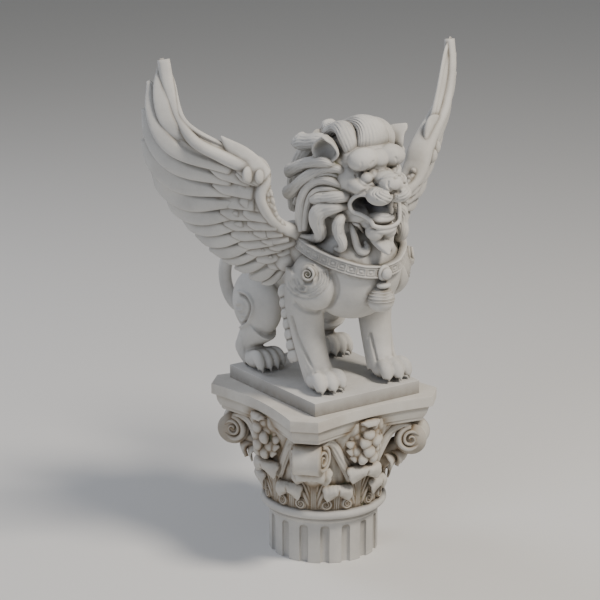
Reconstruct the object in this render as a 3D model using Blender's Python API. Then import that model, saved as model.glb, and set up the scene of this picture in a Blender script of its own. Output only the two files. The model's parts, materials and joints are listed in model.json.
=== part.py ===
"""Winged lion column: a carved guardian lion on a slab, a Corinthian capital and a cut fluted drum.

Metres, +Z up. The column's axis is Z, its cut underside lies on z = 0 and the lion faces -Y.
"""
import bmesh
import bpy
from math import cos, pi, radians, sin
from mathutils import Euler, Matrix, Vector

# Driving dimensions, in metres.
SHAFT_RADIUS = 0.180
SHAFT_HEIGHT = 0.189
GAP = 0.0003  # bed joint between stacked stones
FLUTES = 16
FLUTE_DEPTH = 0.008
FLUTE_HALF_WIDTH = 0.0135
FLUTE_TOP = 0.130
RING_RADIUS = 0.189
ASTRAGAL_RADIUS = 0.2085
ASTRAGAL_TUBE = 0.0145

CAPITAL_HEIGHT = 0.3634
BELL_FOOT = SHAFT_RADIUS + 0.009
ABACUS_HALF = 0.290
ABACUS_FASCIA = 0.0357
ABACUS_HORN = 0.063
ABACUS_HOLLOW = 0.029
VOLUTE_RADIUS = 0.053
VOLUTE_REACH = 0.293
VOLUTE_HEIGHT = 0.2115
VOLUTE_HALF_BAND = 0.040
VOLUTE_SPLAY = radians(20)
ROSETTE_RADIUS = 0.0215
ROSETTE_SPREAD = 10.2
LOWER_LEAF_TIP = 0.086
LOWER_LEAF_REACH = 0.216
LOWER_LEAF_HALF = 0.044
UPPER_LEAF_TIP = 0.150
UPPER_LEAF_REACH = 0.240
UPPER_LEAF_HALF = 0.052

SLAB_HALF_WIDTH = 0.2064
SLAB_HALF_LENGTH = 0.2432
SLAB_THICKNESS = 0.044

LION_HEIGHT = 1.096
LION_DRAWN = 1096.0  # the lion's own points are drawn this many units high
FUSE = 0.0055  # grid on which carved lumps run into one another
LION_FACETS = 5700
CAPITAL_FACETS = 2800

# Heights that follow from the sizes above.
CAPITAL_FOOT = SHAFT_HEIGHT + GAP
CAPITAL_TOP = CAPITAL_FOOT + CAPITAL_HEIGHT
SLAB_FOOT = CAPITAL_TOP + GAP
SLAB_TOP = SLAB_FOOT + SLAB_THICKNESS
LION_FOOT = SLAB_TOP + GAP
UNIT = LION_HEIGHT / LION_DRAWN


def clear_scene():
    for item in list(bpy.data.objects):
        bpy.data.objects.remove(item, do_unlink=True)


def stone(name, colour, roughness):
    """A plain pale stone."""
    material = bpy.data.materials.new(name)
    material.use_nodes = True
    shader = material.node_tree.nodes["Principled BSDF"]
    shader.inputs["Base Color"].default_value = (*colour, 1.0)
    shader.inputs["Roughness"].default_value = roughness
    shader.inputs["Metallic"].default_value = 0.0
    return material


def to_object(mesh, name, material):
    bmesh.ops.recalc_face_normals(mesh, faces=mesh.faces)
    data = bpy.data.meshes.new(name)
    mesh.to_mesh(data)
    mesh.free()
    item = bpy.data.objects.new(name, data)
    bpy.context.scene.collection.objects.link(item)
    data.materials.append(material)
    return item


def apply_modifiers(item):
    """Replace the object's mesh by what its modifiers make of it."""
    shaped = item.evaluated_get(bpy.context.evaluated_depsgraph_get())
    data = bpy.data.meshes.new_from_object(shaped)
    item.modifiers.clear()
    old, item.data = item.data, data
    bpy.data.meshes.remove(old)


def fuse(item, grid, rounds):
    """Run an object's overlapping lumps into one closed body."""
    remesh = item.modifiers.new("fuse", "REMESH")
    remesh.mode = "VOXEL"
    remesh.voxel_size = grid
    soften = item.modifiers.new("soften", "SMOOTH")
    soften.factor = 0.5
    soften.iterations = rounds
    apply_modifiers(item)


def weld(item, distance):
    """Close up slivers: points nearer than the distance become one, and folded pairs of faces go."""
    mesh = bmesh.new()
    mesh.from_mesh(item.data)
    bmesh.ops.remove_doubles(mesh, verts=mesh.verts, dist=distance)
    bmesh.ops.dissolve_degenerate(mesh, edges=mesh.edges, dist=distance / 10)
    seen = {}
    for face in mesh.faces:
        seen.setdefault(frozenset(face.verts), []).append(face)
    folded = [face for pair in seen.values() if len(pair) > 1 for face in pair]
    bmesh.ops.delete(mesh, geom=folded, context="FACES")
    torn = {face for edge in mesh.edges if not edge.is_manifold for face in edge.link_faces if face.is_valid}
    bmesh.ops.delete(mesh, geom=list(torn), context="FACES")
    bmesh.ops.delete(mesh, geom=[edge for edge in mesh.edges if not edge.link_faces], context="EDGES")
    bmesh.ops.delete(mesh, geom=[vertex for vertex in mesh.verts if not vertex.link_faces], context="VERTS")
    bmesh.ops.holes_fill(mesh, edges=[edge for edge in mesh.edges if edge.is_boundary])
    bmesh.ops.triangulate(mesh, faces=[face for face in mesh.faces if len(face.verts) > 4])
    mesh.to_mesh(item.data)
    mesh.free()


def facet(item, facets, below=10.0):
    """Flatten the finely carved part of a body, below a height, to about so many triangles."""
    weld(item, 0.0006)
    carved = item.vertex_groups.new(name="carved")
    carved.add([v.index for v in item.data.vertices if v.co.z < below], 1.0, "REPLACE")
    cut = item.modifiers.new("facet", "DECIMATE")
    cut.vertex_group = "carved"
    cut.ratio = facets / sum(len(face.vertices) - 2 for face in item.data.polygons)
    cut.use_collapse_triangulate = True
    apply_modifiers(item)
    weld(item, 0.0002)


def bed(item, foot, top, half=10.0):
    """Bring the points at the two beds exactly onto them, and keep the rest between them."""
    for vertex in item.data.vertices:
        if vertex.co.z < foot + 0.0015:
            vertex.co.z = foot
        if vertex.co.z > top - 0.0015:
            vertex.co.z = top
        vertex.co.x = max(-half, min(half, vertex.co.x))
        vertex.co.y = max(-half, min(half, vertex.co.y))


def boolean(item, other, operation):
    step = item.modifiers.new(operation.lower(), "BOOLEAN")
    step.operation = operation
    step.solver = "EXACT"
    step.object = other
    apply_modifiers(item)
    bpy.data.objects.remove(other, do_unlink=True)


def smooth_path(points, count):
    """Evenly stepped points of a Catmull-Rom curve through the given ones."""
    points = [Vector(p) for p in points]
    ends = [2 * points[0] - points[1], *points, 2 * points[-1] - points[-2]]
    path = []
    for step in range(count + 1):
        place = step / count * (len(points) - 1)
        index = min(int(place), len(points) - 2)
        t = place - index
        a, b, c, d = ends[index:index + 4]
        path.append(0.5 * (2 * b + (c - a) * t + (2 * a - 5 * b + 4 * c - d) * t ** 2
                           + (3 * b - a - 3 * c + d) * t ** 3))
    return path


def rope(mesh, points, widths, depths, face, steps=10, sides=8):
    """A closed body along a curve: oval sections, widths across and depths along the face direction."""
    path = smooth_path(points, steps)
    spans = [smooth_path([(w, 0, 0) for w in values], steps) for values in (widths, depths)]
    rings = []
    for index, centre in enumerate(path):
        along = (path[min(index + 1, steps)] - path[max(index - 1, 0)]).normalized()
        across = along.cross(Vector(face)).normalized()
        out = across.cross(along).normalized()
        width, depth = (max(span[index].x, 0.0005) for span in spans)
        rings.append([mesh.verts.new(centre + across * width * cos(2 * pi * k / sides)
                                     + out * depth * sin(2 * pi * k / sides)) for k in range(sides)])
    for ring, after in zip(rings, rings[1:]):
        for k in range(sides):
            mesh.faces.new((ring[k], ring[(k + 1) % sides], after[(k + 1) % sides], after[k]))
    mesh.faces.new(rings[0])
    mesh.faces.new(rings[-1][::-1])


def lump(mesh, centre, radii, turn=(0, 0, 0), detail=3):
    """A closed oval ball, its radii along its own turned axes."""
    place = (Matrix.Translation(centre) @ Euler([radians(a) for a in turn]).to_matrix().to_4x4()
             @ Matrix.Diagonal((*radii, 1.0)))
    bmesh.ops.create_icosphere(mesh, subdivisions=detail, radius=1.0, matrix=place)


def prism(outline, levels):
    """A closed upright body over a flat outline, scaled to a share of it at each (height, share)."""
    mesh = bmesh.new()
    rings = [[mesh.verts.new((x * share, y * share, z)) for x, y in outline] for z, share in levels]
    count = len(outline)
    for ring, after in zip(rings, rings[1:]):
        for k in range(count):
            mesh.faces.new((ring[k], ring[(k + 1) % count], after[(k + 1) % count], after[k]))
    mesh.faces.new(rings[0][::-1])
    mesh.faces.new(rings[-1])
    return mesh


def turned(profile, sides, start=0.0):
    """A closed body turned about Z from (radius, height) pairs, lowest first."""
    mesh = bmesh.new()
    rings = [[mesh.verts.new((radius * cos(start + 2 * pi * k / sides),
                              radius * sin(start + 2 * pi * k / sides), height)) for k in range(sides)]
             for radius, height in profile]
    for ring, after in zip(rings, rings[1:]):
        for k in range(sides):
            mesh.faces.new((ring[k], ring[(k + 1) % sides], after[(k + 1) % sides], after[k]))
    mesh.faces.new(rings[0][::-1])
    mesh.faces.new(rings[-1])
    return mesh


def column_shaft(material):
    """The drum: flutes with rounded heads, a thin ring and the astragal above them."""
    astragal = SHAFT_HEIGHT - ASTRAGAL_TUBE
    core = ASTRAGAL_RADIUS - ASTRAGAL_TUBE
    profile = [(SHAFT_RADIUS, 0.0), (SHAFT_RADIUS, FLUTE_TOP + 0.010), (RING_RADIUS, FLUTE_TOP + 0.018),
               (RING_RADIUS, astragal - ASTRAGAL_TUBE)]
    profile += [(core + ASTRAGAL_TUBE * cos(radians(a)), astragal + ASTRAGAL_TUBE * sin(radians(a)))
                for a in (-45, 0, 45, 90)]
    shaft = to_object(turned(profile, 48), "column_shaft", material)
    cutter_radius = (FLUTE_HALF_WIDTH ** 2 + FLUTE_DEPTH ** 2) / (2 * FLUTE_DEPTH)
    mesh = bmesh.new()
    for number in range(FLUTES):
        angle = 2 * pi * (number + 0.5) / FLUTES
        reach = SHAFT_RADIUS - FLUTE_DEPTH + cutter_radius
        head = FLUTE_TOP - FLUTE_HALF_WIDTH
        made = bmesh.ops.create_uvsphere(mesh, u_segments=10, v_segments=4, radius=cutter_radius)["verts"]
        for vertex in made:
            if vertex.co.z < -1e-6:
                vertex.co.z = -head - 0.02
            else:
                vertex.co.z *= FLUTE_HALF_WIDTH / cutter_radius
        bmesh.ops.translate(mesh, verts=made, vec=(reach * sin(angle), -reach * cos(angle), head))
    flutes = to_object(mesh, "flute_cutter", material)
    boolean(shaft, flutes, "DIFFERENCE")
    return shaft


def abacus_outline():
    """The abacus from above: four hollow sides between cut horns."""
    outline = []
    reach = ABACUS_HALF - ABACUS_HORN
    for side in range(4):
        turn = Matrix.Rotation(side * pi / 2, 2)
        for step in range(9):
            along = -1 + step / 4
            hollow = ABACUS_HOLLOW * cos(along * pi / 2)
            outline.append(tuple(turn @ Vector((reach * along, -ABACUS_HALF + hollow))))
    return outline


def bell_radius(height):
    """The bell's radius at a height above the capital's foot."""
    share = max(0.0, min(1.0, height / (CAPITAL_HEIGHT - 0.08)))
    return BELL_FOOT + 0.012 * share + 0.050 * share ** 3


def polar(angle, radius, height):
    """A point round the column: angle in degrees from the front, height above the capital's foot."""
    return Vector((radius * sin(radians(angle)), -radius * cos(radians(angle)), CAPITAL_FOOT + height))


def leaf(mesh, angle, tip_height, tip_reach, half_width):
    """An acanthus leaf: a broad blade up the bell, a lobe beside it each way and a rolled tip."""
    out = polar(angle, 1.0, 0.0) - polar(angle, 0.0, 0.0)
    bell = bell_radius(tip_height * 0.6)
    spine = [polar(angle, BELL_FOOT - 0.004, 0.006), polar(angle, bell, tip_height * 0.6),
             polar(angle, (bell + tip_reach) / 2, tip_height * 0.93),
             polar(angle, tip_reach, tip_height), polar(angle, tip_reach + 0.010, tip_height - 0.024)]
    rope(mesh, spine, [half_width * s for s in (0.66, 0.74, 0.95, 1.0, 0.62)],
         [0.013, 0.014, 0.012, 0.013, 0.010], out, 12, 8)
    for side in (-1, 1):
        width = degrees_of(half_width)
        rope(mesh, [polar(angle + side * width * 0.4, bell_radius(tip_height * 0.3), tip_height * 0.3),
                    polar(angle + side * width * 0.95, bell_radius(tip_height * 0.55) + 0.006, tip_height * 0.55),
                    polar(angle + side * width * 1.15, bell_radius(tip_height * 0.62) + 0.016, tip_height * 0.60)],
             [0.010, 0.013, 0.008], [0.009, 0.010, 0.007], out, 6, 6)


def degrees_of(length):
    """The angle that a length spans on the bell."""
    return length / BELL_FOOT * 180 / pi


def coil(mesh, centre, axis, start, radius, turns, thick, depth, steps=22):
    """A spiral scroll closing in on its centre, in the plane across the axis."""
    axis = Vector(axis).normalized()
    points = []
    for step in range(steps + 1):
        share = step / steps
        reach = (radius - thick) * (1 - 0.80 * share)
        points.append(centre + Matrix.Rotation(share * turns * 2 * pi, 3, axis) @ Vector(start) * reach)
    widths = [thick * (1 - 0.55 * step / steps) for step in range(steps + 1)]
    rope(mesh, points, widths, [depth] * (steps + 1), axis, steps * 2, 6)
    lump(mesh, centre, (thick * 0.7,) * 3, detail=2)


def volute(mesh, corner):
    """A corner volute: a broad drum between two scrolls that splay apart, stalks and the leaf below."""
    along = Vector((sin(radians(corner)), -cos(radians(corner)), 0.0))
    across = Vector((0, 0, 1)).cross(along)
    centre = polar(corner, VOLUTE_REACH, VOLUTE_HEIGHT)
    drum = VOLUTE_HALF_BAND + VOLUTE_RADIUS * sin(VOLUTE_SPLAY) - 0.014
    rope(mesh, [centre - across * drum, centre, centre + across * drum], [VOLUTE_RADIUS - 0.001] * 3,
         [VOLUTE_RADIUS - 0.001] * 3, along, 4, 20)
    for side in (-1, 1):
        face = (across * side * cos(VOLUTE_SPLAY) + along * sin(VOLUTE_SPLAY)).normalized()
        inward = (-along * cos(VOLUTE_SPLAY) + across * side * sin(VOLUTE_SPLAY)).normalized()
        middle = centre + across * side * (drum - 0.002)
        coil(mesh, middle, face, Vector((0, 0, 1)), VOLUTE_RADIUS, side * -1.5, 0.0115, 0.016, 16)
        root = polar(corner + side * 36, bell_radius(0.12), 0.12)
        rope(mesh, [root, middle + inward * 0.10 - Vector((0, 0, 0.02)),
                    middle + inward * 0.060 + Vector((0, 0, 0.048)), middle + Vector((0, 0, VOLUTE_RADIUS - 0.012))],
             [0.013] * 4, [0.014] * 4, face, 10, 6)
    lump(mesh, polar(corner, 0.252, 0.160), (0.044, 0.026, 0.020), (0, 0, corner), 2)


def fleuron(mesh, angle):
    """The knot of fruit and leaf in the middle of a side."""
    for height, apart, size in ((0.280, 0.0, 0.034), (0.246, 0.024, 0.028), (0.214, 0.0, 0.026),
                                (0.206, 0.034, 0.022), (0.182, 0.014, 0.022)):
        for side in (-1, 1) if apart else (1,):
            lump(mesh, polar(angle + side * apart / 0.24 * 180 / pi, 0.234, height), (size, size, size), detail=2)
    lump(mesh, polar(angle, 0.216, 0.235), (0.060, 0.030, 0.064), (0, 0, angle), 2)


def capital(material):
    """The Corinthian capital: bell, two rows of leaves, volutes, fleurons and the moulded abacus."""
    levels = [CAPITAL_HEIGHT * s for s in (-0.05, 0.0, 0.25, 0.5, 0.65, 0.78, 0.85)]
    bell = turned([(bell_radius(h), CAPITAL_FOOT + h) for h in levels], 32)
    for number in range(8):
        leaf(bell, 22.5 + 45 * number, LOWER_LEAF_TIP, LOWER_LEAF_REACH, LOWER_LEAF_HALF)
        leaf(bell, 45 * number, UPPER_LEAF_TIP, UPPER_LEAF_REACH, UPPER_LEAF_HALF)
        for side in (-1, 1):
            angle = 22.5 + 45 * number + side * ROSETTE_SPREAD
            lump(bell, polar(angle, BELL_FOOT + 0.004, ROSETTE_RADIUS), (ROSETTE_RADIUS, 0.010, ROSETTE_RADIUS),
                 (0, 0, angle), 2)
    for number in range(4):
        volute(bell, 45 + 90 * number)
        fleuron(bell, 90 * number)
    body = to_object(bell, "capital", material)
    fuse(body, 0.0042, 2)
    fascia = CAPITAL_TOP - ABACUS_FASCIA
    outline = abacus_outline()
    room = to_object(prism(outline, [(CAPITAL_FOOT, 1.5), (fascia - 0.030, 1.5)]), "room", material)
    boolean(body, room, "INTERSECT")
    steps = [(-0.048, 0.900), (-0.048, 0.910), (-0.036, 0.912), (-0.034, 0.928), (-0.020, 0.955), (-0.001, 0.958),
             (0.0, 1.0), (ABACUS_FASCIA - 0.004, 1.0), (ABACUS_FASCIA, 0.987)]
    abacus = prism(outline, [(fascia + rise, share) for rise, share in steps])
    boolean(body, to_object(abacus, "abacus", material), "UNION")
    facet(body, CAPITAL_FACETS, fascia - 0.0025)
    bed(body, CAPITAL_FOOT, CAPITAL_TOP, ABACUS_HALF)
    return body


def plinth_slab(material):
    mesh = bmesh.new()
    size = (2 * SLAB_HALF_WIDTH, 2 * SLAB_HALF_LENGTH, SLAB_THICKNESS)
    place = Matrix.Translation((0, 0, SLAB_FOOT + SLAB_THICKNESS / 2)) @ Matrix.Diagonal((*size, 1.0))
    bmesh.ops.create_cube(mesh, size=1.0, matrix=place)
    return to_object(mesh, "plinth_slab", material)


def at(x, y, height):
    """A point of the lion, drawn in its own units over its foot."""
    return Vector((x * UNIT, y * UNIT, height * UNIT))


def lion_lump(mesh, centre, radii, turn=(0, 0, 0), detail=3):
    lump(mesh, at(*centre), [r * UNIT for r in radii], turn, detail)


def lion_rope(mesh, points, widths, depths, face=(0, -1, 0), steps=10, sides=8):
    rope(mesh, [at(*p) for p in points], [w * UNIT for w in widths], [d * UNIT for d in depths],
         face, steps, sides)


# The wing's feathers, as (outward, back, up) in the lion's units, from the outermost down.
QUILL_TIPS = ((556, 72, 1092), (596, 88, 1022), (612, 98, 934), (608, 110, 836), (573, 111, 733),
              (531, 103, 652), (485, 89, 579), (440, 78, 515), (396, 66, 462), (356, 55, 426),
              (315, 45, 392), (268, 32, 356), (229, 21, 332))
QUILL_ROOTS = ((380, -40, 785), (375, -36, 735), (370, -32, 700), (365, -28, 665), (355, -26, 632),
               (340, -26, 596), (325, -26, 562), (300, -26, 527), (275, -28, 497), (250, -30, 468),
               (222, -32, 442), (195, -34, 420), (170, -34, 400))
COVERT_TIPS = ((428, -10, 800), (436, -5, 748), (424, 0, 695), (410, 4, 645), (394, 6, 602), (380, 10, 562),
               (354, 8, 522), (330, 6, 490), (305, 3, 462), (268, -2, 428), (228, -10, 400))
COVERT_ROOTS = ((320, -56, 745), (310, -54, 700), (305, -52, 662), (300, -50, 626), (290, -48, 592),
                (275, -48, 560), (255, -48, 530), (235, -48, 505), (205, -48, 480), (175, -50, 460),
                (150, -50, 440))
MEDIAN_TIPS = ((366, -40, 730), (362, -38, 685), (352, -36, 640), (338, -33, 600), (322, -30, 562),
               (300, -30, 530), (273, -34, 501), (245, -34, 473), (215, -36, 445))
MEDIAN_ROOTS = ((268, -72, 690), (264, -70, 650), (258, -68, 612), (248, -68, 580), (232, -68, 555),
                (212, -68, 532), (190, -66, 512), (165, -64, 496), (140, -62, 480))
ARM = ((124, -66, 500), (165, -71, 516), (216, -64, 537), (262, -62, 588), (285, -62, 640), (277, -68, 692),
       (293, -64, 731), (354, -52, 752), (420, -30, 785), (484, 0, 829), (526, 26, 905), (548, 50, 1006),
       (553, 66, 1088))
ARM_WIDTHS = (40, 22, 20, 18, 18, 22, 27, 24, 18, 16, 16, 19, 17)
ARM_THICK = (40, 44, 56, 70, 80, 84, 84, 78, 70, 60, 50, 40, 30)  # the leading edge, front to back
QUILL_BOWS = (0.24, 0.20, 0.17, 0.15, 0.14, 0.12, 0.08) + (0.06,) * 6  # as shares of each quill's length
THICK_SHIFT = Vector((0.55, -0.79, 0.27))  # where the front of the edge lies, as shares of its thickness
EDGE_WIDTH = 240.0  # feathers this far from the edge are not brought forward
LEAN = 44.0  # how far the feather tips and the top of the wing lean back
ARM_PATH = smooth_path(ARM, 60)
THICK_PATH = smooth_path([(thick, 0, 0) for thick in ARM_THICK], 60)
LEFT_ARM = ((124, -66, 500), (165, -71, 516), (216, -64, 545), (262, -64, 590), (296, -62, 620), (322, -60, 658),
            (345, -50, 700), (384, -32, 740), (430, -8, 775), (480, 16, 820), (523, 42, 885), (545, 54, 950),
            (551, 66, 1034))  # the left wing ends lower and its edge is one smooth arc
ALULA = ((262, -70, 690), (330, -48, 745), (391, -34, 828))
LEFT_PATH = smooth_path(LEFT_ARM, 60)
LEFT_FACE = Vector((0.5, -0.87, 0))


def swept(point):
    """A point of the wing brought out to the front of the thick edge that it hangs from."""
    nearest = min(range(len(ARM_PATH)), key=lambda index: (ARM_PATH[index] - Vector(point)).length)
    away = min(1.0, (ARM_PATH[nearest] - Vector(point)).length / EDGE_WIDTH)
    lean = min(1.0, max(away, (point[2] - 820) / 120))
    return Vector(point) + THICK_SHIFT * (THICK_PATH[nearest].x * (1 - away) - LEAN * lean)


def on_left(point):
    """The same point of the left wing, in front of its own edge."""
    nearest = min(range(len(ARM_PATH)), key=lambda index: (ARM_PATH[index] - Vector(point)).length)
    near = 1 - min(1.0, (ARM_PATH[nearest] - Vector(point)).length / EDGE_WIDTH)
    ahead = LEFT_FACE * (THICK_PATH[nearest].x / 2 - 18)
    return Vector(point) + (LEFT_PATH[nearest] - ARM_PATH[nearest] + ahead) * near


def wing(mesh, side):
    """A raised wing: its thick smooth edge, thirteen quills, two rows of coverts and the pointed alula."""
    def place(point, lift=0.0):
        point = on_left(point) if side > 0 else swept(point)
        return side * point[0], point[1] - lift, point[2]

    face = (side * 0.5, -0.87, 0)
    back = Vector((-side * 0.5, 0.87, 0))
    edge = [Vector(place(point)) + back * (thick / 2 - 18) for point, thick in zip(ARM, ARM_THICK)]
    edge = LEFT_ARM if side > 0 else edge
    lion_rope(mesh, edge, ARM_WIDTHS, [thick / 2 for thick in ARM_THICK], face, 40, 12)
    for number, (tip, root) in enumerate(zip(QUILL_TIPS, QUILL_ROOTS)):
        beside = QUILL_TIPS[number - 1] if number else QUILL_TIPS[1]
        half = min(48, 0.52 * (Vector(tip) - Vector(beside)).length)
        length = (Vector(tip) - Vector(root)).length
        sag = length * QUILL_BOWS[number] * (0.35 if side > 0 else 1.0)
        across = Vector((tip[2] - root[2], 0, root[0] - tip[0])).normalized() * sag
        middle = Vector(tip).lerp(Vector(root), 0.5) + Vector((across.x, 4, across.z))
        lion_rope(mesh, [place(root), place(middle), place(tip)],
                  [half * share for share in (0.5, 0.62, 0.8, 0.95, 0.92, 0.35)],
                  [13, 12, 11, 10, 9, 5], face, 15, 8)
    for tips, roots, half, lift in ((COVERT_TIPS, COVERT_ROOTS, 27, 6), (MEDIAN_TIPS, MEDIAN_ROOTS, 25, 11)):
        for tip, root in zip(tips, roots):
            lion_rope(mesh, [place(root, lift * 0.5), place(tip, lift)], [half, half, half * 0.95, half * 0.4],
                      [15, 14, 12, 6], face, 6, 8)
    alula = ((262, -70, 680), (340, -52, 728), (440, -24, 806)) if side > 0 else ALULA
    lion_rope(mesh, [place(point, lift) for point, lift in zip(alula, (10, 12, 8))],
              [30, 30, 4], [17, 16, 6], face, 8, 8)
    lion_lump(mesh, (side * 150, -50, 470), (50, 75, 75))
    lion_lump(mesh, (side * 178, -40, 440), (46, 50, 60))


def paw(mesh, heel, toe, half_width, toes):
    """A paw from heel to toe with knuckled toes and claws."""
    heel, toe = Vector((*heel, 0)), Vector((*toe, 0))
    ahead = (toe - heel).normalized()
    aside = Vector((-ahead.y, ahead.x, 0))
    middle = heel.lerp(toe, 0.45)
    size = half_width / toes
    lion_lump(mesh, (middle.x, middle.y, 32), (half_width * 0.95, (toe - heel).length * 0.46, 34))
    for number in range(toes):
        apart = (2 * number - toes + 1) / (toes - 1)
        tip = toe + aside * apart * (half_width - size) - ahead * abs(apart) * 10
        root = middle + aside * apart * (half_width - size) * 0.75
        lion_rope(mesh, [(root.x, root.y, 42), (*(root.lerp(tip, 0.55)).xy, 48), (*(tip - ahead * 8).xy, 34),
                         (*tip.xy, 14)], [size * 0.9, size * 1.05, size, size * 0.55], [20, 21, 19, 10],
                  (0, 0, 1), 8, 8)
        lion_rope(mesh, [(*(tip - ahead * 6).xy, 22), (*(tip + ahead * 7).xy, 14), (*(tip + ahead * 9).xy, 2)],
                  [6, 5, 2], [7, 6, 2], (0, 0, 1), 4, 6)


def legs(mesh):
    """Forelegs under the shoulders, hind legs folded under the haunches."""
    for side, foot in ((-1, (-106, -150)), (1, (140, -165))):
        lean = foot[0] - side * 120
        lion_lump(mesh, (side * 142, -150, 372), (66, 92, 100))
        lion_rope(mesh, [(side * 138, -112, 400), (side * 138, -90, 290), (side * 132 + lean * 0.3, -90, 190),
                         (side * 126 + lean * 0.7, -108, 95), (foot[0] - side * 4, foot[1] + 22, 30)],
                  [74, 66, 54, 50, 52], [80, 70, 56, 54, 54], (0, -1, 0), 14, 12)
        paw(mesh, (foot[0], foot[1] + 50), (foot[0] + side * 2, foot[1] - 60), 64, 3)
        lion_rope(mesh, [(side * 138, -50, 340), (side * 140, -8, 296), (side * 138, -22, 262)],
                  [16, 16, 6], [30, 22, 6], (0, 0, 1), 6, 8)
        for number in range(6):
            lion_lump(mesh, (side * 134, -10 - number * 8, 268 - number * 38), (18, 32, 28), (20, 0, 0), 2)
    for side in (-1, 1):
        lion_lump(mesh, (side * 130, 192, 212), (64, 112, 112), (-18, 0, 0))
        lion_rope(mesh, [(side * 132, 165, 150), (side * 146, 205, 95), (side * 150, 222, 55), (side * 142, 190, 26)],
                  [56, 44, 38, 40], [74, 48, 40, 40], (0, 1, 0), 10, 10)
        paw(mesh, (side * 144, 205), (side * 130, 92), 60, 4)
        lion_lump(mesh, (side * 156, 244, 58), (24, 22, 34), (0, 0, 0), 2)


def trunk(mesh):
    """Chest, ribs, loins and rump."""
    lion_lump(mesh, (0, -150, 392), (163, 158, 168))
    lion_lump(mesh, (0, -20, 365), (142, 190, 142))
    lion_lump(mesh, (0, 130, 332), (122, 180, 112))
    lion_lump(mesh, (0, 222, 290), (118, 100, 116))
    lion_lump(mesh, (0, -84, 540), (140, 146, 150))
    lion_rope(mesh, [(0, 285, 270), (-32, 355, 162), (-66, 402, 142), (-88, 432, 188), (-96, 440, 262),
                     (-80, 418, 345), (-50, 368, 395), (-24, 322, 392), (-20, 298, 355)],
              [40, 28, 23, 22, 22, 25, 34, 30, 6], [40, 28, 23, 22, 22, 25, 34, 30, 6], (1, 0, 0), 30, 8)


def head(mesh):
    """Skull, brows, muzzle, open jaws, chin tuft and ears."""
    lion_lump(mesh, (0, -178, 722), (118, 118, 112))
    lion_lump(mesh, (0, -120, 660), (148, 150, 160))
    lion_lump(mesh, (0, -285, 684), (78, 76, 44))
    lion_lump(mesh, (0, -368, 690), (40, 20, 20), detail=2)
    lion_lump(mesh, (0, -318, 722), (34, 40, 20), (25, 0, 0), 2)
    lion_lump(mesh, (0, -296, 762), (42, 36, 26), (0, 0, 0), 2)
    for side in (-1, 1):
        lion_lump(mesh, (side * 38, -335, 660), (44, 46, 30))
        lion_lump(mesh, (side * 84, -232, 672), (44, 56, 56))
        lion_lump(mesh, (side * 54, -290, 758), (54, 42, 31), (10, side * 12, side * 20))
        lion_lump(mesh, (side * 56, -302, 716), (19, 16, 16), detail=2)
        lion_rope(mesh, [(side * 110, -212, 742), (side * 134, -212, 795), (side * 154, -210, 842)],
                  [36, 42, 8], [20, 20, 6], (0, -1, 0), 8, 8)
        lion_rope(mesh, [(0, -342, 582), (side * 46, -322, 586), (side * 78, -272, 612), (side * 88, -250, 640)],
                  [13, 15, 15, 14], [13, 14, 15, 14], (0, 0, 1), 10, 6)
        lion_lump(mesh, (side * 17, -318, 536), (22, 26, 27), detail=2)
    lion_lump(mesh, (0, -262, 568), (68, 78, 30), (12, 0, 0))
    lion_lump(mesh, (0, -225, 600), (74, 60, 70))
    lion_lump(mesh, (0, -296, 600), (28, 44, 12), (-10, 0, 0), 2)
    lion_rope(mesh, [(0, -305, 540), (0, -326, 512), (0, -346, 480)], [28, 20, 5], [22, 18, 5], (0, -1, 0), 6, 8)


# Mane locks of one side, each a curve in the lion's units with the half-width at its middle.
LOCKS = (
    (((0, -262, 845), (14, -238, 868), (10, -188, 864), (4, -112, 836), (0, -36, 846)), 26),
    (((34, -250, 826), (56, -210, 846), (62, -140, 832), (54, -64, 800), (50, -26, 812)), 28),
    (((80, -222, 800), (98, -170, 818), (112, -100, 800), (118, -52, 782), (120, -18, 794)), 28),
    (((104, -190, 770), (128, -130, 768), (142, -70, 735), (138, -26, 694), (136, -8, 702)), 30),
    (((112, -190, 710), (142, -130, 706), (154, -70, 665), (146, -26, 620), (144, -6, 622)), 30),
    (((112, -200, 660), (144, -150, 645), (154, -104, 590), (144, -70, 530), (142, -58, 505)), 30),
    (((106, -222, 620), (138, -190, 600), (152, -150, 548), (140, -118, 500), (150, -108, 470)), 28),
    (((92, -246, 590), (118, -226, 568), (128, -205, 520), (108, -192, 486), (122, -200, 462)), 26),
    (((78, -262, 560), (96, -262, 540), (98, -262, 500), (74, -262, 468), (86, -272, 448)), 22),
    (((40, -30, 800), (60, 20, 740), (70, 50, 660), (64, 62, 590), (60, 84, 560)), 34),
    (((0, -40, 810), (0, 30, 760), (0, 72, 670), (0, 90, 590), (0, 112, 560)), 36),
    (((104, -30, 700), (108, 8, 640), (102, 16, 580), (94, 10, 530), (90, 20, 500)), 32),
)


def mane(mesh):
    """Heavy locks swept back from the face, over the neck and down on the collar."""
    for points, half in LOCKS:
        for side in (-1, 1) if points[2][0] > 1 else (1,):
            middle = Vector(points[2])
            out = (middle - Vector((0, -110, 640)))
            face = Vector((out.x * side, out.y, out.z))
            lion_rope(mesh, [(side * x, y, h) for x, y, h in points], [half * s for s in (0.7, 1, 1, 0.85, 0.7)],
                      [half * s * 0.85 for s in (0.6, 1, 1, 0.8, 0.75)], face, 14, 8)


def harness(mesh):
    """The flat collar across the chest, its clasp and the round bell."""
    for side in (-1, 1):
        lion_rope(mesh, [(0, -316, 418), (side * 70, -300, 424), (side * 133, -247, 447), (side * 168, -180, 470),
                         (side * 176, -110, 492)], [24] * 5, [11] * 5, (side * 0.5, -1, 0), 14, 8)
    lion_lump(mesh, (0, -322, 412), (22, 16, 26), detail=2)
    lion_lump(mesh, (0, -316, 368), (26, 24, 14), detail=2)
    lion_lump(mesh, (0, -306, 324), (43, 43, 43))


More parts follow.
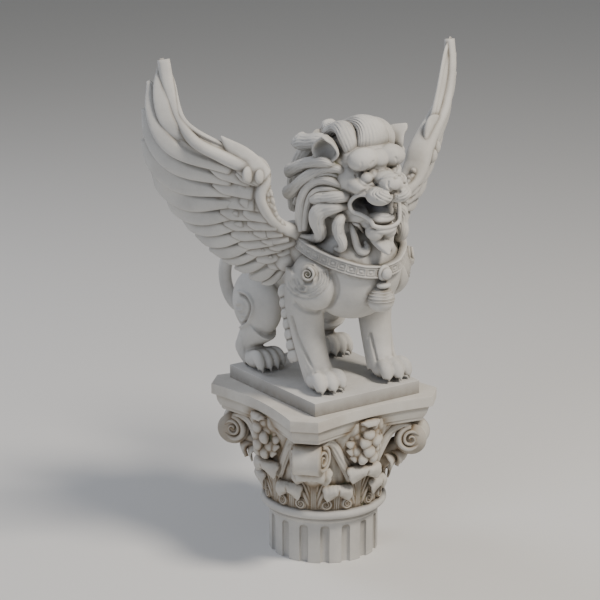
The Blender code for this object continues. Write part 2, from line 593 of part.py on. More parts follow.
def winged_lion(material):
    mesh = bmesh.new()
    trunk(mesh)
    legs(mesh)
    head(mesh)
    mane(mesh)
    harness(mesh)
    for side in (-1, 1):
        wing(mesh, side)
    body = to_object(mesh, "winged_lion", material)
    fuse(body, FUSE, 2)
    size = (2.0, 2.0, 0.4)
    floor = bmesh.new()
    bmesh.ops.create_cube(floor, size=1.0, matrix=Matrix.Translation((0, 0, -size[2] / 2))
                          @ Matrix.Diagonal((*size, 1.0)))
    boolean(body, to_object(floor, "bed", material), "DIFFERENCE")
    facet(body, LION_FACETS)
    bed(body, 0.0, LION_HEIGHT)
    for vertex in body.data.vertices:
        vertex.co.z += LION_FOOT
    return body


clear_scene()
PALE_STONE = stone("pale_stone", (0.52, 0.51, 0.49), 0.85)
column_shaft(PALE_STONE)
capital(PALE_STONE)
plinth_slab(PALE_STONE)
winged_lion(PALE_STONE)
for item in bpy.data.objects:
    item.data.validate()
    print(item.name, len(item.data.polygons), [round(v, 4) for v in item.dimensions])
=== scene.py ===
# %% [markdown]
# # Winged lion column
# A guardian lion with raised wings stands on a slab, on a Corinthian capital, on a short cut length of
# fluted column. Everything is one pale carved limestone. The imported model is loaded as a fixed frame, and
# each of its four stones gets a carved piece here: the drum, the slab, the capital and the lion.
# Lengths are in metres. The lion's own points are in millimetres above the slab.

# %% The frame
import json
from math import cos, pi, radians, sin

import bmesh
import bpy
import numpy as np
from mathutils import Euler, Matrix, Vector
from mathutils.bvhtree import BVHTree

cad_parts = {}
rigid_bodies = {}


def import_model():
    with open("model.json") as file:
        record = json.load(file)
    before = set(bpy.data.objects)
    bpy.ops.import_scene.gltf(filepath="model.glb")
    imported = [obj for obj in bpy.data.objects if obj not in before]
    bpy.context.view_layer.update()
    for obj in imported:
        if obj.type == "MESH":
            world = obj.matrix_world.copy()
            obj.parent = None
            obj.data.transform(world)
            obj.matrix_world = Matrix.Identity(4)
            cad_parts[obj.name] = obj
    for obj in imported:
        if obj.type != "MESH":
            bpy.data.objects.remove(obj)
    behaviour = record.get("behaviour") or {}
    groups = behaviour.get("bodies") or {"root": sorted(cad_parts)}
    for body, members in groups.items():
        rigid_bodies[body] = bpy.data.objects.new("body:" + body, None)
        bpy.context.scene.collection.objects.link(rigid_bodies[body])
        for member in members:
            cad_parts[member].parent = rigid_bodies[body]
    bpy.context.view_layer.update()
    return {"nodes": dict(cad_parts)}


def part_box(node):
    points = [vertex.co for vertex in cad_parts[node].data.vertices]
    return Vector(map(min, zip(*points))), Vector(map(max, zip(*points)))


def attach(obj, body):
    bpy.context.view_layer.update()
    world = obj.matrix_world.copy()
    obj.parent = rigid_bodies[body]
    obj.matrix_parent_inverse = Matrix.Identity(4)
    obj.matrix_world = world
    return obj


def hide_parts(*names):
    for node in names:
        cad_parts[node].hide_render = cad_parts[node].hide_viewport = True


for old in list(bpy.data.objects):
    bpy.data.objects.remove(old, do_unlink=True)
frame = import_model()
SHAFT, CAPITAL, SLAB, LION = (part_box(n) for n in ("column_shaft", "capital", "plinth_slab", "winged_lion"))

# %% [markdown]
# ## The camera
# It stands where the photograph was taken: to the lion's right and above, with a long lens. A point of the
# photograph, 600 by 600, can be sent back along its ray onto a carved surface, which is how the fine
# strokes are laid out below.

# %% Camera
EYE = Vector((-4.3063, -6.0367, 3.0545))
TARGET = Vector((-0.0633, 0.0442, 0.8425))
LENS, SENSOR, PHOTO = 143.71, 36.0, 600

camera = bpy.data.objects.new("photo_camera", bpy.data.cameras.new("photo_camera"))
bpy.context.scene.collection.objects.link(camera)
camera.data.lens, camera.data.sensor_width = LENS, SENSOR
camera.data.clip_start, camera.data.clip_end = 0.1, 100
camera.location = EYE
camera.rotation_mode = "QUATERNION"
camera.rotation_quaternion = (TARGET - EYE).to_track_quat("-Z", "Y")
bpy.context.scene.camera = camera


def seen(pixels, tree, lift=0.0):
    """Where the rays through some points of the photograph meet a surface, in metres."""
    turn = (TARGET - EYE).to_track_quat("-Z", "Y")
    found = []
    for x, y in pixels:
        step = SENSOR / LENS / PHOTO
        ray = turn @ Vector(((x - PHOTO / 2) * step, (PHOTO / 2 - y) * step, -1)).normalized()
        hit, normal, _, _ = tree.ray_cast(EYE, ray)
        if hit is not None:
            found.append(hit + normal * lift)
    return np.array(found)


def crop(corner, scale, points):
    """Points read off an enlarged part of the photograph, as points of the photograph."""
    return [(corner[0] + x / scale, corner[1] + y / scale) for x, y in points]


print("camera", [round(v, 3) for v in camera.location])

# %% [markdown]
# ## Floor and light
# A plain pale floor. The light is a wide soft lamp in front and to the lion's left, so the faces that look
# along -Y are lighter and warmer, and a cool weak one fills the side that faces -X.

# %% Floor and lights


def linear(code):
    """A hex sRGB colour as linear red, green, blue and alpha."""
    values = [int(code[i:i + 2], 16) / 255 for i in (1, 3, 5)]
    return (*(v / 12.92 if v <= 0.04045 else ((v + 0.055) / 1.055) ** 2.4 for v in values), 1.0)


def lamp(name, place, size, power, colour):
    """A round lamp turned to the middle of the lion and its column."""
    data = bpy.data.lights.new(name, "AREA")
    data.shape, data.size, data.energy, data.color = "DISK", size, power, linear(colour)[:3]
    item = bpy.data.objects.new(name, data)
    bpy.context.scene.collection.objects.link(item)
    item.location = place
    item.rotation_mode = "QUATERNION"
    item.rotation_quaternion = (Vector((0, 0, 0.9)) - Vector(place)).to_track_quat("-Z", "Y")


lamp("key", (1.6, -4.0, 6.2), 1.8, 520, "#fff6ea")
lamp("fill", (-5.4, -2.4, 3.2), 3.0, 95, "#e4edff")
lamp("back", (-2.0, 4.5, 4.5), 3.0, 120, "#eef2ff")
world = bpy.data.worlds.new("room")
world.use_nodes = True
world.node_tree.nodes["Background"].inputs["Color"].default_value = linear("#dfe3e8")
world.node_tree.nodes["Background"].inputs["Strength"].default_value = 0.26
bpy.context.scene.world = world

mesh = bmesh.new()
bmesh.ops.create_grid(mesh, x_segments=2, y_segments=2, size=30.0)
data = bpy.data.meshes.new("floor")
mesh.to_mesh(data)
mesh.free()
floor = bpy.data.objects.new("floor", data)
bpy.context.scene.collection.objects.link(floor)

# %% [markdown]
# ## Limestone
# Carved pale limestone, made from layers: a broad mottle of two greys, a finer grain, a warm brown in the
# hollows of the carving that is partly dirt gathered there and partly painted shade, a little moss where they
# are deepest, a paler tone where a point is least shut in, and a bump of fine grain over soft chisel waves.
# Two attributes of each piece drive it: `hollow`, how much the carving shuts a point in, and a second one that
# marks where the mouth and ears are painted dark as the shade inside them.

# %% Materials


def add(tree, kind, settings=(), links=()):
    """A shader node with its settings and what feeds its inputs."""
    node = tree.nodes.new(kind)
    for name, value in dict(settings).items():
        if hasattr(node, name) and name not in node.inputs:
            setattr(node, name, value)
        else:
            node.inputs[name].default_value = value
    for name, socket in dict(links).items():
        tree.links.new(socket, node.inputs[name])
    return node


def blend(tree, share, low, high):
    """Mix two colours, each a hex code or a socket, by a share socket."""
    node = tree.nodes.new("ShaderNodeMix")
    node.data_type = "RGBA"
    tree.links.new(share, node.inputs["Factor"])
    for place, value in ((6, low), (7, high)):
        if isinstance(value, str):
            node.inputs[place].default_value = linear(value)
        else:
            tree.links.new(value, node.inputs[place])
    return node.outputs[2]


def span(tree, value, low, high, start=0.0, end=1.0):
    """A socket's value brought from low..high to start..end, and kept there."""
    limits = {"From Min": low, "From Max": high, "To Min": start, "To Max": end}
    return add(tree, "ShaderNodeMapRange", limits, {"Value": value}).outputs["Result"]


def noise(tree, where, scale, detail=4.0):
    """Clouds of a value, with this many of them to a metre."""
    settings = {"Scale": scale, "Detail": detail, "Roughness": 0.55}
    return add(tree, "ShaderNodeTexNoise", settings, {"Vector": where}).outputs[0]


def times(tree, one, other):
    """The product of two sockets."""
    return add(tree, "ShaderNodeMath", {"operation": "MULTIPLY"}, {0: one, 1: other}).outputs[0]


MOTTLE, BLOTCH, CHISEL, GRAIN = 7.0, 38.0, 85.0, 420.0  # patterns of the stone, in clouds to a metre
# The second colour is the dark painted as shade inside the mouth and the ear cups.
MOSS, PAINTED_SHADE_COLOUR = "#6c7452", "#3b3a40"


def limestone(name, light="#c3c1bc", dark="#b0aea9", dirt_and_shade_colour="#6f6658", dirt_and_shade_share=0.80):
    """Limestone in layers of colour, each laid over the last by a share that its patterns give; its hollows
    take a brown that is partly dirt and partly painted shade.
    """
    material = bpy.data.materials.new(name)
    material.use_nodes = True
    tree = material.node_tree
    shader = tree.nodes["Principled BSDF"]
    where = add(tree, "ShaderNodeTexCoord").outputs["Object"]
    hollow = add(tree, "ShaderNodeAttribute", {"attribute_name": "hollow"}).outputs["Fac"]
    painted_shade = add(tree, "ShaderNodeAttribute", {"attribute_name": "painted_shade"}).outputs["Fac"]
    broad, middle, grain = (noise(tree, where, scale) for scale in (MOTTLE, BLOTCH, GRAIN))
    colour = blend(tree, span(tree, broad, 0.38, 0.64), light, dark)
    colour = blend(tree, span(tree, middle, 0.35, 0.75, 0.0, 0.22), colour, "#d3d0c9")
    colour = blend(tree, span(tree, grain, 0.45, 0.80, 0.0, 0.18), colour, "#8d8a84")
    # The hollows take a warm brown, partly dirt gathered there and partly painted shade in the creases.
    dirt_and_painted_shade = times(tree, span(tree, hollow, 0.10, 0.60, 0.0, dirt_and_shade_share), span(tree, middle, 0.25, 0.65, 0.55, 1.0))
    colour = blend(tree, dirt_and_painted_shade, colour, dirt_and_shade_colour)
    damp = times(tree, span(tree, hollow, 0.62, 0.90, 0.0, 0.55), span(tree, broad, 0.50, 0.62))
    colour = blend(tree, damp, colour, MOSS)
    # Paler where a point is least shut in.
    colour = blend(tree, span(tree, hollow, 0.16, 0.02, 0.0, 0.16), colour, "#dcdad5")
    # The mouth and the ear cups are painted dark here, as the shade inside them.
    colour = blend(tree, painted_shade, colour, PAINTED_SHADE_COLOUR)
    tree.links.new(colour, shader.inputs["Base Color"])
    tree.links.new(span(tree, grain, 0.3, 0.7, 0.72, 0.90), shader.inputs["Roughness"])
    shader.inputs["Specular IOR Level"].default_value = 0.28
    chisel = noise(tree, where, CHISEL, 3.0)
    waves = add(tree, "ShaderNodeBump", {"Strength": 0.16, "Distance": 0.004}, {"Height": chisel})
    fine = add(tree, "ShaderNodeBump", {"Strength": 0.20, "Distance": 0.0008},
               {"Height": grain, "Normal": waves.outputs[0]})
    tree.links.new(fine.outputs[0], shader.inputs["Normal"])
    return material


# Each stone's hollows take a brown of dirt and painted shade together.
LION_STONE = limestone("carved limestone, lion")
CAPITAL_STONE = limestone("carved limestone, capital", "#c4c0b7", "#b1aba1", "#7d6a50", 0.95)
DRESSED_STONE = limestone("dressed limestone, slab and drum", "#bdbbb6", "#adaba7")
floor_paint = bpy.data.materials.new("matt painted floor")
floor_paint.use_nodes = True
paint = floor_paint.node_tree.nodes["Principled BSDF"].inputs
paint["Base Color"].default_value, paint["Roughness"].default_value = linear("#d9d8d5"), 0.9
floor.data.materials.append(floor_paint)
print("materials", [m.name for m in bpy.data.materials])

# %% [markdown]
# ## Tools for carving
# A shape is a closed bundle of points and faces. `rope` sweeps an oval, ridged or grooved section along a
# smooth curve, `ball` is an oval lump, and `build` puts shapes into one mesh. Ready-made solids can't give
# a carved lock or leaf its ridges, so sections are worked out point by point. `fuse` then runs lumps
# together, as a rough figure is one block, `thin` drops triangles, and `carve` draws strokes in the surface.

# %% Shapes


def unit(vectors):
    """Vectors brought to length one."""
    return vectors / np.maximum(np.linalg.norm(vectors, axis=-1, keepdims=True), 1e-12)


def curve(points, count):
    """Evenly stepped points of a Catmull-Rom curve through the given points or values."""
    p = np.asarray(points, float)
    if p.ndim == 1:
        return curve(p[:, None], count)[:, 0]
    p = np.vstack([2 * p[0] - p[1], p, 2 * p[-1] - p[-2]])
    place = np.linspace(0, len(p) - 3, count + 1)
    i = np.minimum(place.astype(int), len(p) - 4)
    t = (place - i)[:, None]
    a, b, c, d = p[i], p[i + 1], p[i + 2], p[i + 3]
    return 0.5 * (2 * b + (c - a) * t + (2 * a - 5 * b + 4 * c - d) * t ** 2
                  + (3 * b - a - 3 * c + d) * t ** 3)


def tube(rings):
    """A closed shape through rings of points, (steps, sides, 3), with a point at each end."""
    steps, sides = rings.shape[:2]
    row, col = np.meshgrid(np.arange(steps - 1), np.arange(sides), indexing="ij")
    a, b = row * sides + col, row * sides + (col + 1) % sides
    faces = np.stack([a, b, b + sides, a + sides], -1).reshape(-1, 4).tolist()
    first, last = steps * sides, steps * sides + 1
    for k in range(sides):
        faces.append([first, (k + 1) % sides, k])
        faces.append([last, (steps - 1) * sides + k, (steps - 1) * sides + (k + 1) % sides])
    return np.vstack([rings.reshape(-1, 3), rings[0].mean(0), rings[-1].mean(0)]), faces


def sweep(path, face, u, v):
    """A closed shape whose section has the points u across and v outwards at each step of a path."""
    along = unit(np.gradient(path, axis=0))
    across = unit(np.cross(along, np.broadcast_to(np.asarray(face, float), path.shape)))
    out = unit(np.cross(across, along))
    return tube(path[:, None] + across[:, None] * u[..., None] + out[:, None] * v[..., None])


def rope(points, widths, depths, face=(0, -1, 0), steps=24, sides=16, lobes=0, groove=0.0, split=None,
         square=1.0):
    """A rope along a curve: lobes ridges on each side of it, or one groove at the share split across it.
    Its section is an oval, and the smaller square is, the nearer it is to a box."""
    path = curve(points, steps)
    angle = 2 * pi * np.arange(sides) / sides
    width, depth = (np.maximum(curve(s, steps), 0.0003)[:, None] for s in (widths, depths))
    ease = np.sin(pi * np.clip(np.linspace(0.06, 0.94, steps + 1), 0, 1))[:, None] ** 0.5
    along = np.linspace(0, 4 * pi, steps + 1)[:, None]
    uneven = 0.65 + 0.35 * np.cos(5 * angle + 1.4 * along)
    turned_by = angle + 0.08 * np.sin(along)
    radius = 1 - groove * ease * uneven * (1 - np.abs(np.sin(lobes * turned_by))) ** 2 if lobes else 1.0
    u, v = (size * np.sign(f) * np.abs(f) ** square * radius
            for size, f in ((width, np.cos(angle)), (depth, np.sin(angle))))
    if split is not None:
        v = v * (1 - groove * ease * np.exp(-((np.cos(angle) - split) / 0.16) ** 2))
    return sweep(path, face, u, v)


BALLS = {}


def ball(centre, radii, turn=(0, 0, 0), detail=3):
    """An oval lump, its radii along its own turned axes."""
    if detail not in BALLS:
        mesh = bmesh.new()
        bmesh.ops.create_icosphere(mesh, subdivisions=detail, radius=1.0)
        loops = [[v.index for v in f.verts] for f in mesh.faces]
        BALLS[detail] = (np.array([v.co for v in mesh.verts]), loops)
        mesh.free()
    points, faces = BALLS[detail]
    matrix = np.array(Euler([radians(a) for a in turn]).to_matrix())
    return points * np.asarray(radii) @ matrix.T + np.asarray(centre, float), faces


def build(name, shapes):
    """One mesh object from closed shapes, its faces turned outwards."""
    points, faces, start = [], [], 0
    for own, loops in shapes:
        points.append(own)
        faces += [[i + start for i in loop] for loop in loops]
        start += len(own)
    data = bpy.data.meshes.new(name)
    data.from_pydata(np.vstack(points).tolist(), [], faces)
    mesh = bmesh.new()
    mesh.from_mesh(data)
    bmesh.ops.recalc_face_normals(mesh, faces=mesh.faces)
    mesh.to_mesh(data)
    mesh.free()
    item = bpy.data.objects.new(name, data)
    bpy.context.scene.collection.objects.link(item)
    return item


def apply_modifiers(item):
    """Replace the object's mesh by what its modifiers make of it."""
    shaped = item.evaluated_get(bpy.context.evaluated_depsgraph_get())
    data = bpy.data.meshes.new_from_object(shaped)
    item.modifiers.clear()
    item.data = data


def fuse(item, grid, rounds):
    """Run an object's overlapping shapes into one closed body."""
    remesh = item.modifiers.new("fuse", "REMESH")
    remesh.mode, remesh.voxel_size = "VOXEL", grid
    soften = item.modifiers.new("soften", "SMOOTH")
    soften.factor, soften.iterations = 0.5, rounds
    apply_modifiers(item)


def thin(item, share):
    """Leave only a share of an object's triangles, with the flat ones taken out first."""
    fewer = item.modifiers.new("thin", "DECIMATE")
    fewer.ratio = share
    apply_modifiers(item)


def block(name, low, high):
    """A plain box between two corners."""
    corners = [[x, y, z] for x in (low[0], high[0]) for y in (low[1], high[1]) for z in (low[2], high[2])]
    sides = [[0, 1, 3, 2], [4, 6, 7, 5], [0, 4, 5, 1], [2, 3, 7, 6], [0, 2, 6, 4], [1, 5, 7, 3]]
    return build(name, [(np.array(corners), sides)])


def cut(item, other):
    """Take one body out of another, and remove it."""
    step = item.modifiers.new("cut", "BOOLEAN")
    step.operation, step.solver, step.object = "DIFFERENCE", "EXACT", other
    apply_modifiers(item)
    bpy.data.objects.remove(other, do_unlink=True)


def points_of(item):
    """The places and normals of an object's points."""
    co, no = (np.empty(len(item.data.vertices) * 3, np.float32) for _ in range(2))
    item.data.vertices.foreach_get("co", co)
    item.data.vertex_normals.foreach_get("vector", no)
    return co.reshape(-1, 3).astype(float), no.reshape(-1, 3).astype(float)


def tree_of(*items):
    """A search tree of the surfaces of some objects."""
    points, faces, start = [], [], 0
    for item in items:
        points += [v.co for v in item.data.vertices]
        faces += [[i + start for i in p.vertices] for p in item.data.polygons]
        start = len(points)
    return BVHTree.FromPolygons(points, faces)


def onto(points, tree, lift=0.0):
    """The nearest places of a surface to some points."""
    found = [tree.find_nearest(Vector(p)) for p in points]
    return np.array([place + normal * lift for place, normal, _, _ in found])


def carve(item, strokes):
    """Push the surface in along strokes of (path, half-width, depth), or out where the depth is negative."""
    co, no = points_of(item)
    move = np.zeros(len(co))
    for path, width, depth in strokes:
        if len(path) < 2:
            continue
        length = np.linalg.norm(np.diff(path, axis=0), axis=1).sum()
        path = curve(path, int(max(6, length / width * 2.5)))
        near = np.flatnonzero(((co > path.min(0) - width) & (co < path.max(0) + width)).all(1))
        if len(near):
            away = np.linalg.norm(co[near][:, None] - path[None], axis=2).min(1)
            move[near] += depth * np.clip(1 - (away / width) ** 2, 0, 1) ** 2
    item.data.vertices.foreach_set("co", (co - no * move[:, None]).astype(np.float32).ravel())
    item.data.update()


def painted_shade(item, spots):
    """Mark where the stone is painted dark as shade: (centre, radius, amount) spots, fading out."""
    co, _ = points_of(item)
    value = np.zeros(len(co))
    for centre, radius, amount in spots:
        away = np.linalg.norm(co - np.asarray(centre), axis=1) / radius
        value = np.maximum(value, amount * np.clip(1.6 - 1.6 * away, 0, 1))
    layer = item.data.attributes.new("painted_shade", "FLOAT", "POINT")
    layer.data.foreach_set("value", value.astype(np.float32))


PIECES = []


def piece(item, material, *nodes):
    """Give a finished mesh its stone, and its place in the frame."""
    item.data.materials.clear()
    item.data.materials.append(material)
    item.data.polygons.foreach_set("use_smooth", [True] * len(item.data.polygons))
    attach(item, "root")
    if nodes:
        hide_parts(*nodes)
    PIECES.append(item)
    print(item.name, sum(len(p.vertices) - 2 for p in item.data.polygons), "triangles")


def crisp(item, angle):
    """Keep the edges sharper than an angle sharp."""
    item.data.set_sharp_from_angle(angle=radians(angle))


# %% [markdown]
# ## The drum
# A cut length of column: sixteen flutes with rounded heads, a thin ring and the astragal, a round moulding.
# Real ones are turned and then fluted by chisel. It is made the same way here: a profile is turned about the
# column's axis, and sixteen rounded bars are cut out of it, so each flute's head is as round as a tool leaves
# it. A profile turned in one go with its flutes would have open flutes with no heads.

# %% Drum
SHAFT_RADIUS, SHAFT_TOP = 0.180, SHAFT[1].z
FLUTES, FLUTE_DEPTH, FLUTE_HALF, FLUTE_TOP = 16, 0.011, 0.0150, 0.130
RING_RADIUS, ASTRAGAL_RADIUS, ASTRAGAL_TUBE = 0.189, 0.2085, 0.0145


def turned(profile, sides):
    """A closed shape turned about Z from (radius, height) pairs."""
    angle = 2 * pi * np.arange(sides) / sides
    rings = [np.c_[r * np.cos(angle), r * np.sin(angle), np.full(sides, z)] for r, z in profile]
    return tube(np.array(rings))


bed = SHAFT_TOP - ASTRAGAL_TUBE
core = ASTRAGAL_RADIUS - ASTRAGAL_TUBE
profile = [(SHAFT_RADIUS - 0.0015, 0.0), (SHAFT_RADIUS, 0.0015), (SHAFT_RADIUS, FLUTE_TOP + 0.008),
           (SHAFT_RADIUS + 0.003, FLUTE_TOP + 0.013), (RING_RADIUS - 0.001, FLUTE_TOP + 0.017),
           (RING_RADIUS, FLUTE_TOP + 0.0185), (RING_RADIUS, bed - ASTRAGAL_TUBE - 0.0015),
           (RING_RADIUS - 0.0015, bed - ASTRAGAL_TUBE + 0.0005)]
profile += [(core + ASTRAGAL_TUBE * cos(radians(a)), bed + ASTRAGAL_TUBE * sin(radians(a)))
            for a in range(-70, 91, 10)]
drum = build("drum", [turned(profile, 160)])
mesh = bmesh.new()
for number in range(FLUTES):
    made = bmesh.ops.create_uvsphere(mesh, u_segments=40, v_segments=20, radius=1.0)["verts"]
    for vertex in made:
        across, deep = (size * abs(share) ** 0.6 * (1 if share > 0 else -1)
                        for share, size in ((vertex.co.x, FLUTE_HALF), (vertex.co.y, FLUTE_DEPTH + 0.001)))
        vertex.co = (across, deep, -0.2 if vertex.co.z < -1e-6 else vertex.co.z * FLUTE_HALF)
    bmesh.ops.translate(mesh, verts=made, vec=(0, -SHAFT_RADIUS - 0.001, FLUTE_TOP - FLUTE_HALF))
    bmesh.ops.rotate(mesh, verts=made, matrix=Matrix.Rotation(2 * pi * (number + 0.5) / FLUTES, 3, "Z"))
data = bpy.data.meshes.new("flutes")
mesh.to_mesh(data)
mesh.free()
flutes = bpy.data.objects.new("flutes", data)
bpy.context.scene.collection.objects.link(flutes)
cut(drum, flutes)
piece(drum, DRESSED_STONE, "column_shaft")
crisp(drum, 30)

# %% [markdown]
# ## The slab
# The sawn slab that the lion stands on, its edges a little worn. It is a plain box with a bevel, which rounds
# the edges by a size given in metres; worn edges drawn point by point would say no more than that.

# %% Slab
EDGE_WEAR = 0.0016

slab = block("slab", *SLAB)
round_off = slab.modifiers.new("worn", "BEVEL")
round_off.width, round_off.segments = EDGE_WEAR, 3
apply_modifiers(slab)
piece(slab, DRESSED_STONE, "plinth_slab")
crisp(slab, 30)

# %% [markdown]
# ## The capital
# The capital carries the slab: a bell with leaves, corner volutes, and on top the abacus, a moulded plate
# with hollow sides and cut corners. The abacus could be cut from a block, but its moulding runs evenly round,
# so it is made as rings: one outline from above, at each level a share of it, joined into a closed body.

# %% Abacus
FOOT, TOP = CAPITAL[0].z, CAPITAL[1].z
HEIGHT = TOP - FOOT
BELL_FOOT = SHAFT_RADIUS + 0.009
ABACUS_HALF, FASCIA, HORN, HOLLOW = CAPITAL[1].x, 0.0357, 0.063, 0.029


def abacus_outline(steps=16):
    """The abacus from above: four hollow sides between cut horns."""
    outline = []
    for side in range(4):
        turn = Matrix.Rotation(side * pi / 2, 2)
        for step in range(steps + 1):
            along = 2 * step / steps - 1
            outline.append(tuple(turn @ Vector(((ABACUS_HALF - HORN) * along,
                                                -ABACUS_HALF + HOLLOW * cos(along * pi / 2)))))
    return np.array(outline)


outline = abacus_outline()
fascia = TOP - FASCIA
levels = [(-0.052, 0.895), (-0.050, 0.900), (-0.048, 0.908), (-0.040, 0.910), (-0.0385, 0.912),
          (-0.0380, 0.924), (-0.036, 0.926), (-0.031, 0.934), (-0.025, 0.944), (-0.018, 0.951),
          (-0.010, 0.955), (-0.002, 0.957), (-0.001, 0.959), (0.0, 0.997), (0.0008, 1.0), (0.010, 1.0),
          (FASCIA - 0.004, 1.0), (FASCIA - 0.0015, 0.9985), (FASCIA - 0.0003, 0.996), (FASCIA, 0.990)]
abacus = build("abacus", [tube(np.array([np.c_[outline * share, np.full(len(outline), fascia + rise)]
                                         for rise, share in levels]))])
piece(abacus, CAPITAL_STONE)
crisp(abacus, 28)

# %% [markdown]
# ## Bell and leaves
# A ribbed bell carries eight lower and eight upper acanthus leaves whose tips roll over, with a pair of small
# spiral rosettes at the foot of each lower leaf. A leaf is a grid bent along its length and then thickened,
# with ribs and lobes as waves across it, so that one function makes both rows and every leaf is closed.

# %% Bell, leaves and rosettes
ROSETTE_SPREAD, ROSETTE_RADIUS, ROSETTE_LIFT = 10.2, 0.0215, 0.008
BUDS = ((0.050, 8.0, 0.0062), (0.075, 7.0, 0.0055), (0.100, 5.6, 0.0050))  # height, degrees apart, size


def bell_radius(height):
    """The bell's radius, which widens towards the top."""
    share = np.clip(np.asarray(height) / (HEIGHT - 0.08), 0, 1)
    return BELL_FOOT + 0.012 * share + 0.050 * share ** 3


def polar(angle, radius, height):
    """A point round the column: angle in degrees from the front, height above the capital's foot."""
    a = np.radians(np.asarray(angle, float))
    up = FOOT + np.asarray(height, float)
    return np.stack(np.broadcast_arrays(radius * np.sin(a), -radius * np.cos(a), up), -1)


def plate(front, thick):
    """A closed plate from a grid of points, (rows, columns, 3), as thick as given behind its front."""
    normal = unit(np.cross(np.gradient(front, axis=1), np.gradient(front, axis=0)))
    back = front - normal * thick
    return tube(np.concatenate([front, back[:, ::-1]], axis=1))


def leaf(angle, tip, reach, half, ribs=9, rows=30, columns=38):
    """An acanthus leaf: a ribbed blade up the bell, and a broad rolled tip with a notched, drooping edge."""
    s = np.linspace(0, 1, rows)[:, None]
    v = np.linspace(-1, 1, columns)[None]
    radial = [BELL_FOOT + 0.004, bell_radius(tip * 0.45) + 0.006, bell_radius(tip * 0.75) + 0.010,
              (bell_radius(tip * 0.9) + reach) / 2 + 0.004, reach, reach + 0.010, reach + 0.006]
    height = [0.0, tip * 0.45, tip * 0.80, tip, tip + 0.002, tip - 0.008, tip - 0.022]
    width = [half * share for share in (0.52, 0.60, 0.70, 0.86, 1.0, 1.0, 0.80)]
    radial, height, width = (curve(values, rows - 1)[:, None] for values in (radial, height, width))
    roll = np.clip((s - 0.50) / 0.5, 0, 1)
    width = width * (1 + 0.07 * np.abs(np.sin(s * pi * 5)) * (s > 0.1))
    droop = roll ** 1.2 * 0.026 * np.abs(v) ** 3
    end = np.clip((s - 0.72) / 0.28, 0, 1)
    notch = end * (0.014 * np.exp(-(v / 0.12) ** 2) + 0.002 * np.cos(2.5 * pi * v) ** 2)
    fan = (1 - np.abs(np.sin(pi * ribs / 2 * v + pi / 2))) ** 1.5 * 0.0050 * np.clip(1.1 - 1.3 * roll, 0, 1)
    r = radial - 0.012 * roll * v ** 2 - fan - 0.004 * (1 - roll) * v ** 2
    points = polar(angle + np.degrees(width * v / np.maximum(r, 0.1)), r, height - droop + notch)
    return plate(points, 0.0055)


def spiral(centre, axis, start, radius, turns, thick, depth, steps=60, sides=10, close=0.86):
    """A raised scroll line winding in on its centre, in the plane across the axis."""
    axis = Vector(axis).normalized()
    share = np.linspace(0, 1, steps + 1)
    reach = (radius - thick) * (1 - close * share)
    points = [np.array(Vector(centre) + Matrix.Rotation(t * turns * 2 * pi, 3, axis) @ Vector(start) * r)
              for t, r in zip(share, reach)]
    fading = thick * (1 - 0.62 * share)
    return [rope(points, fading, np.full(steps + 1, depth), axis, steps, sides),
            ball(centre, (thick * 0.75,) * 3, detail=2)]


bell, faces = turned([(bell_radius(h), FOOT + h) for h in np.linspace(0.0, HEIGHT * 0.86, 30)], 288)
ribs = np.abs(np.sin(24 * np.arctan2(bell[:, 0], bell[:, 1])))
ribbed = 1 + 0.020 * ribs * np.clip((bell[:, 2] - FOOT) / 0.03, 0, 1)
shapes = [(bell * np.c_[ribbed, ribbed, np.ones(len(bell))], faces)]
for number in range(8):
    low, high = 22.5 + 45 * number, 45 * number
    shapes.append(leaf(high, 0.150, 0.238, 0.060, ribs=11))
    shapes.append(leaf(low, 0.086, 0.216, 0.044, ribs=7))
    for side in (-1, 1):
        turn = low + side * ROSETTE_SPREAD
        axis = polar(turn, 1.0, -FOOT)
        middle = [polar(turn, BELL_FOOT + lift, ROSETTE_RADIUS) for lift in (-0.004, 0.004, ROSETTE_LIFT)]
        girth = [ROSETTE_RADIUS - less for less in (0.001, 0.001, 0.002)]
        shapes.append(rope(middle, girth, girth, (0, 0, 1), 4, 24))
        shapes += spiral(middle[-1], axis, (0, 0, 1), ROSETTE_RADIUS, side * 2.0, 0.0044, 0.0046, 36, 8)
        for rise, apart, size in BUDS:
            stem = [polar(high + side * apart * 0.55, bell_radius(rise) - 0.002, rise - 0.04),
                    polar(high + side * apart, bell_radius(rise) + 0.006, rise),
                    polar(high + side * apart * 1.5, bell_radius(rise) + 0.012, rise + 0.028)]
            shapes.append(rope(stem, [size, size, size * 0.6], [size, size, size * 0.6], axis, 8, 8))
leaves = build("capital_leaves", shapes)
piece(leaves, CAPITAL_STONE, "capital")

# %% [markdown]
# ## Volutes and fleurons
# At each corner a broad band winds between two scrolls that splay apart, fed by stalks from the bell, and in
# the middle of each side hangs a bunch of drooping leaves. Scroll lines, stalks and leaves are ropes, because
# a rope follows a spiral or a bent stem evenly, and where it has ridges they turn with it.

# %% Volutes and fleurons
VOLUTE_RADIUS, VOLUTE_REACH, VOLUTE_HEIGHT, VOLUTE_BAND, SPLAY = 0.053, 0.293, 0.2115, 0.040, radians(20)


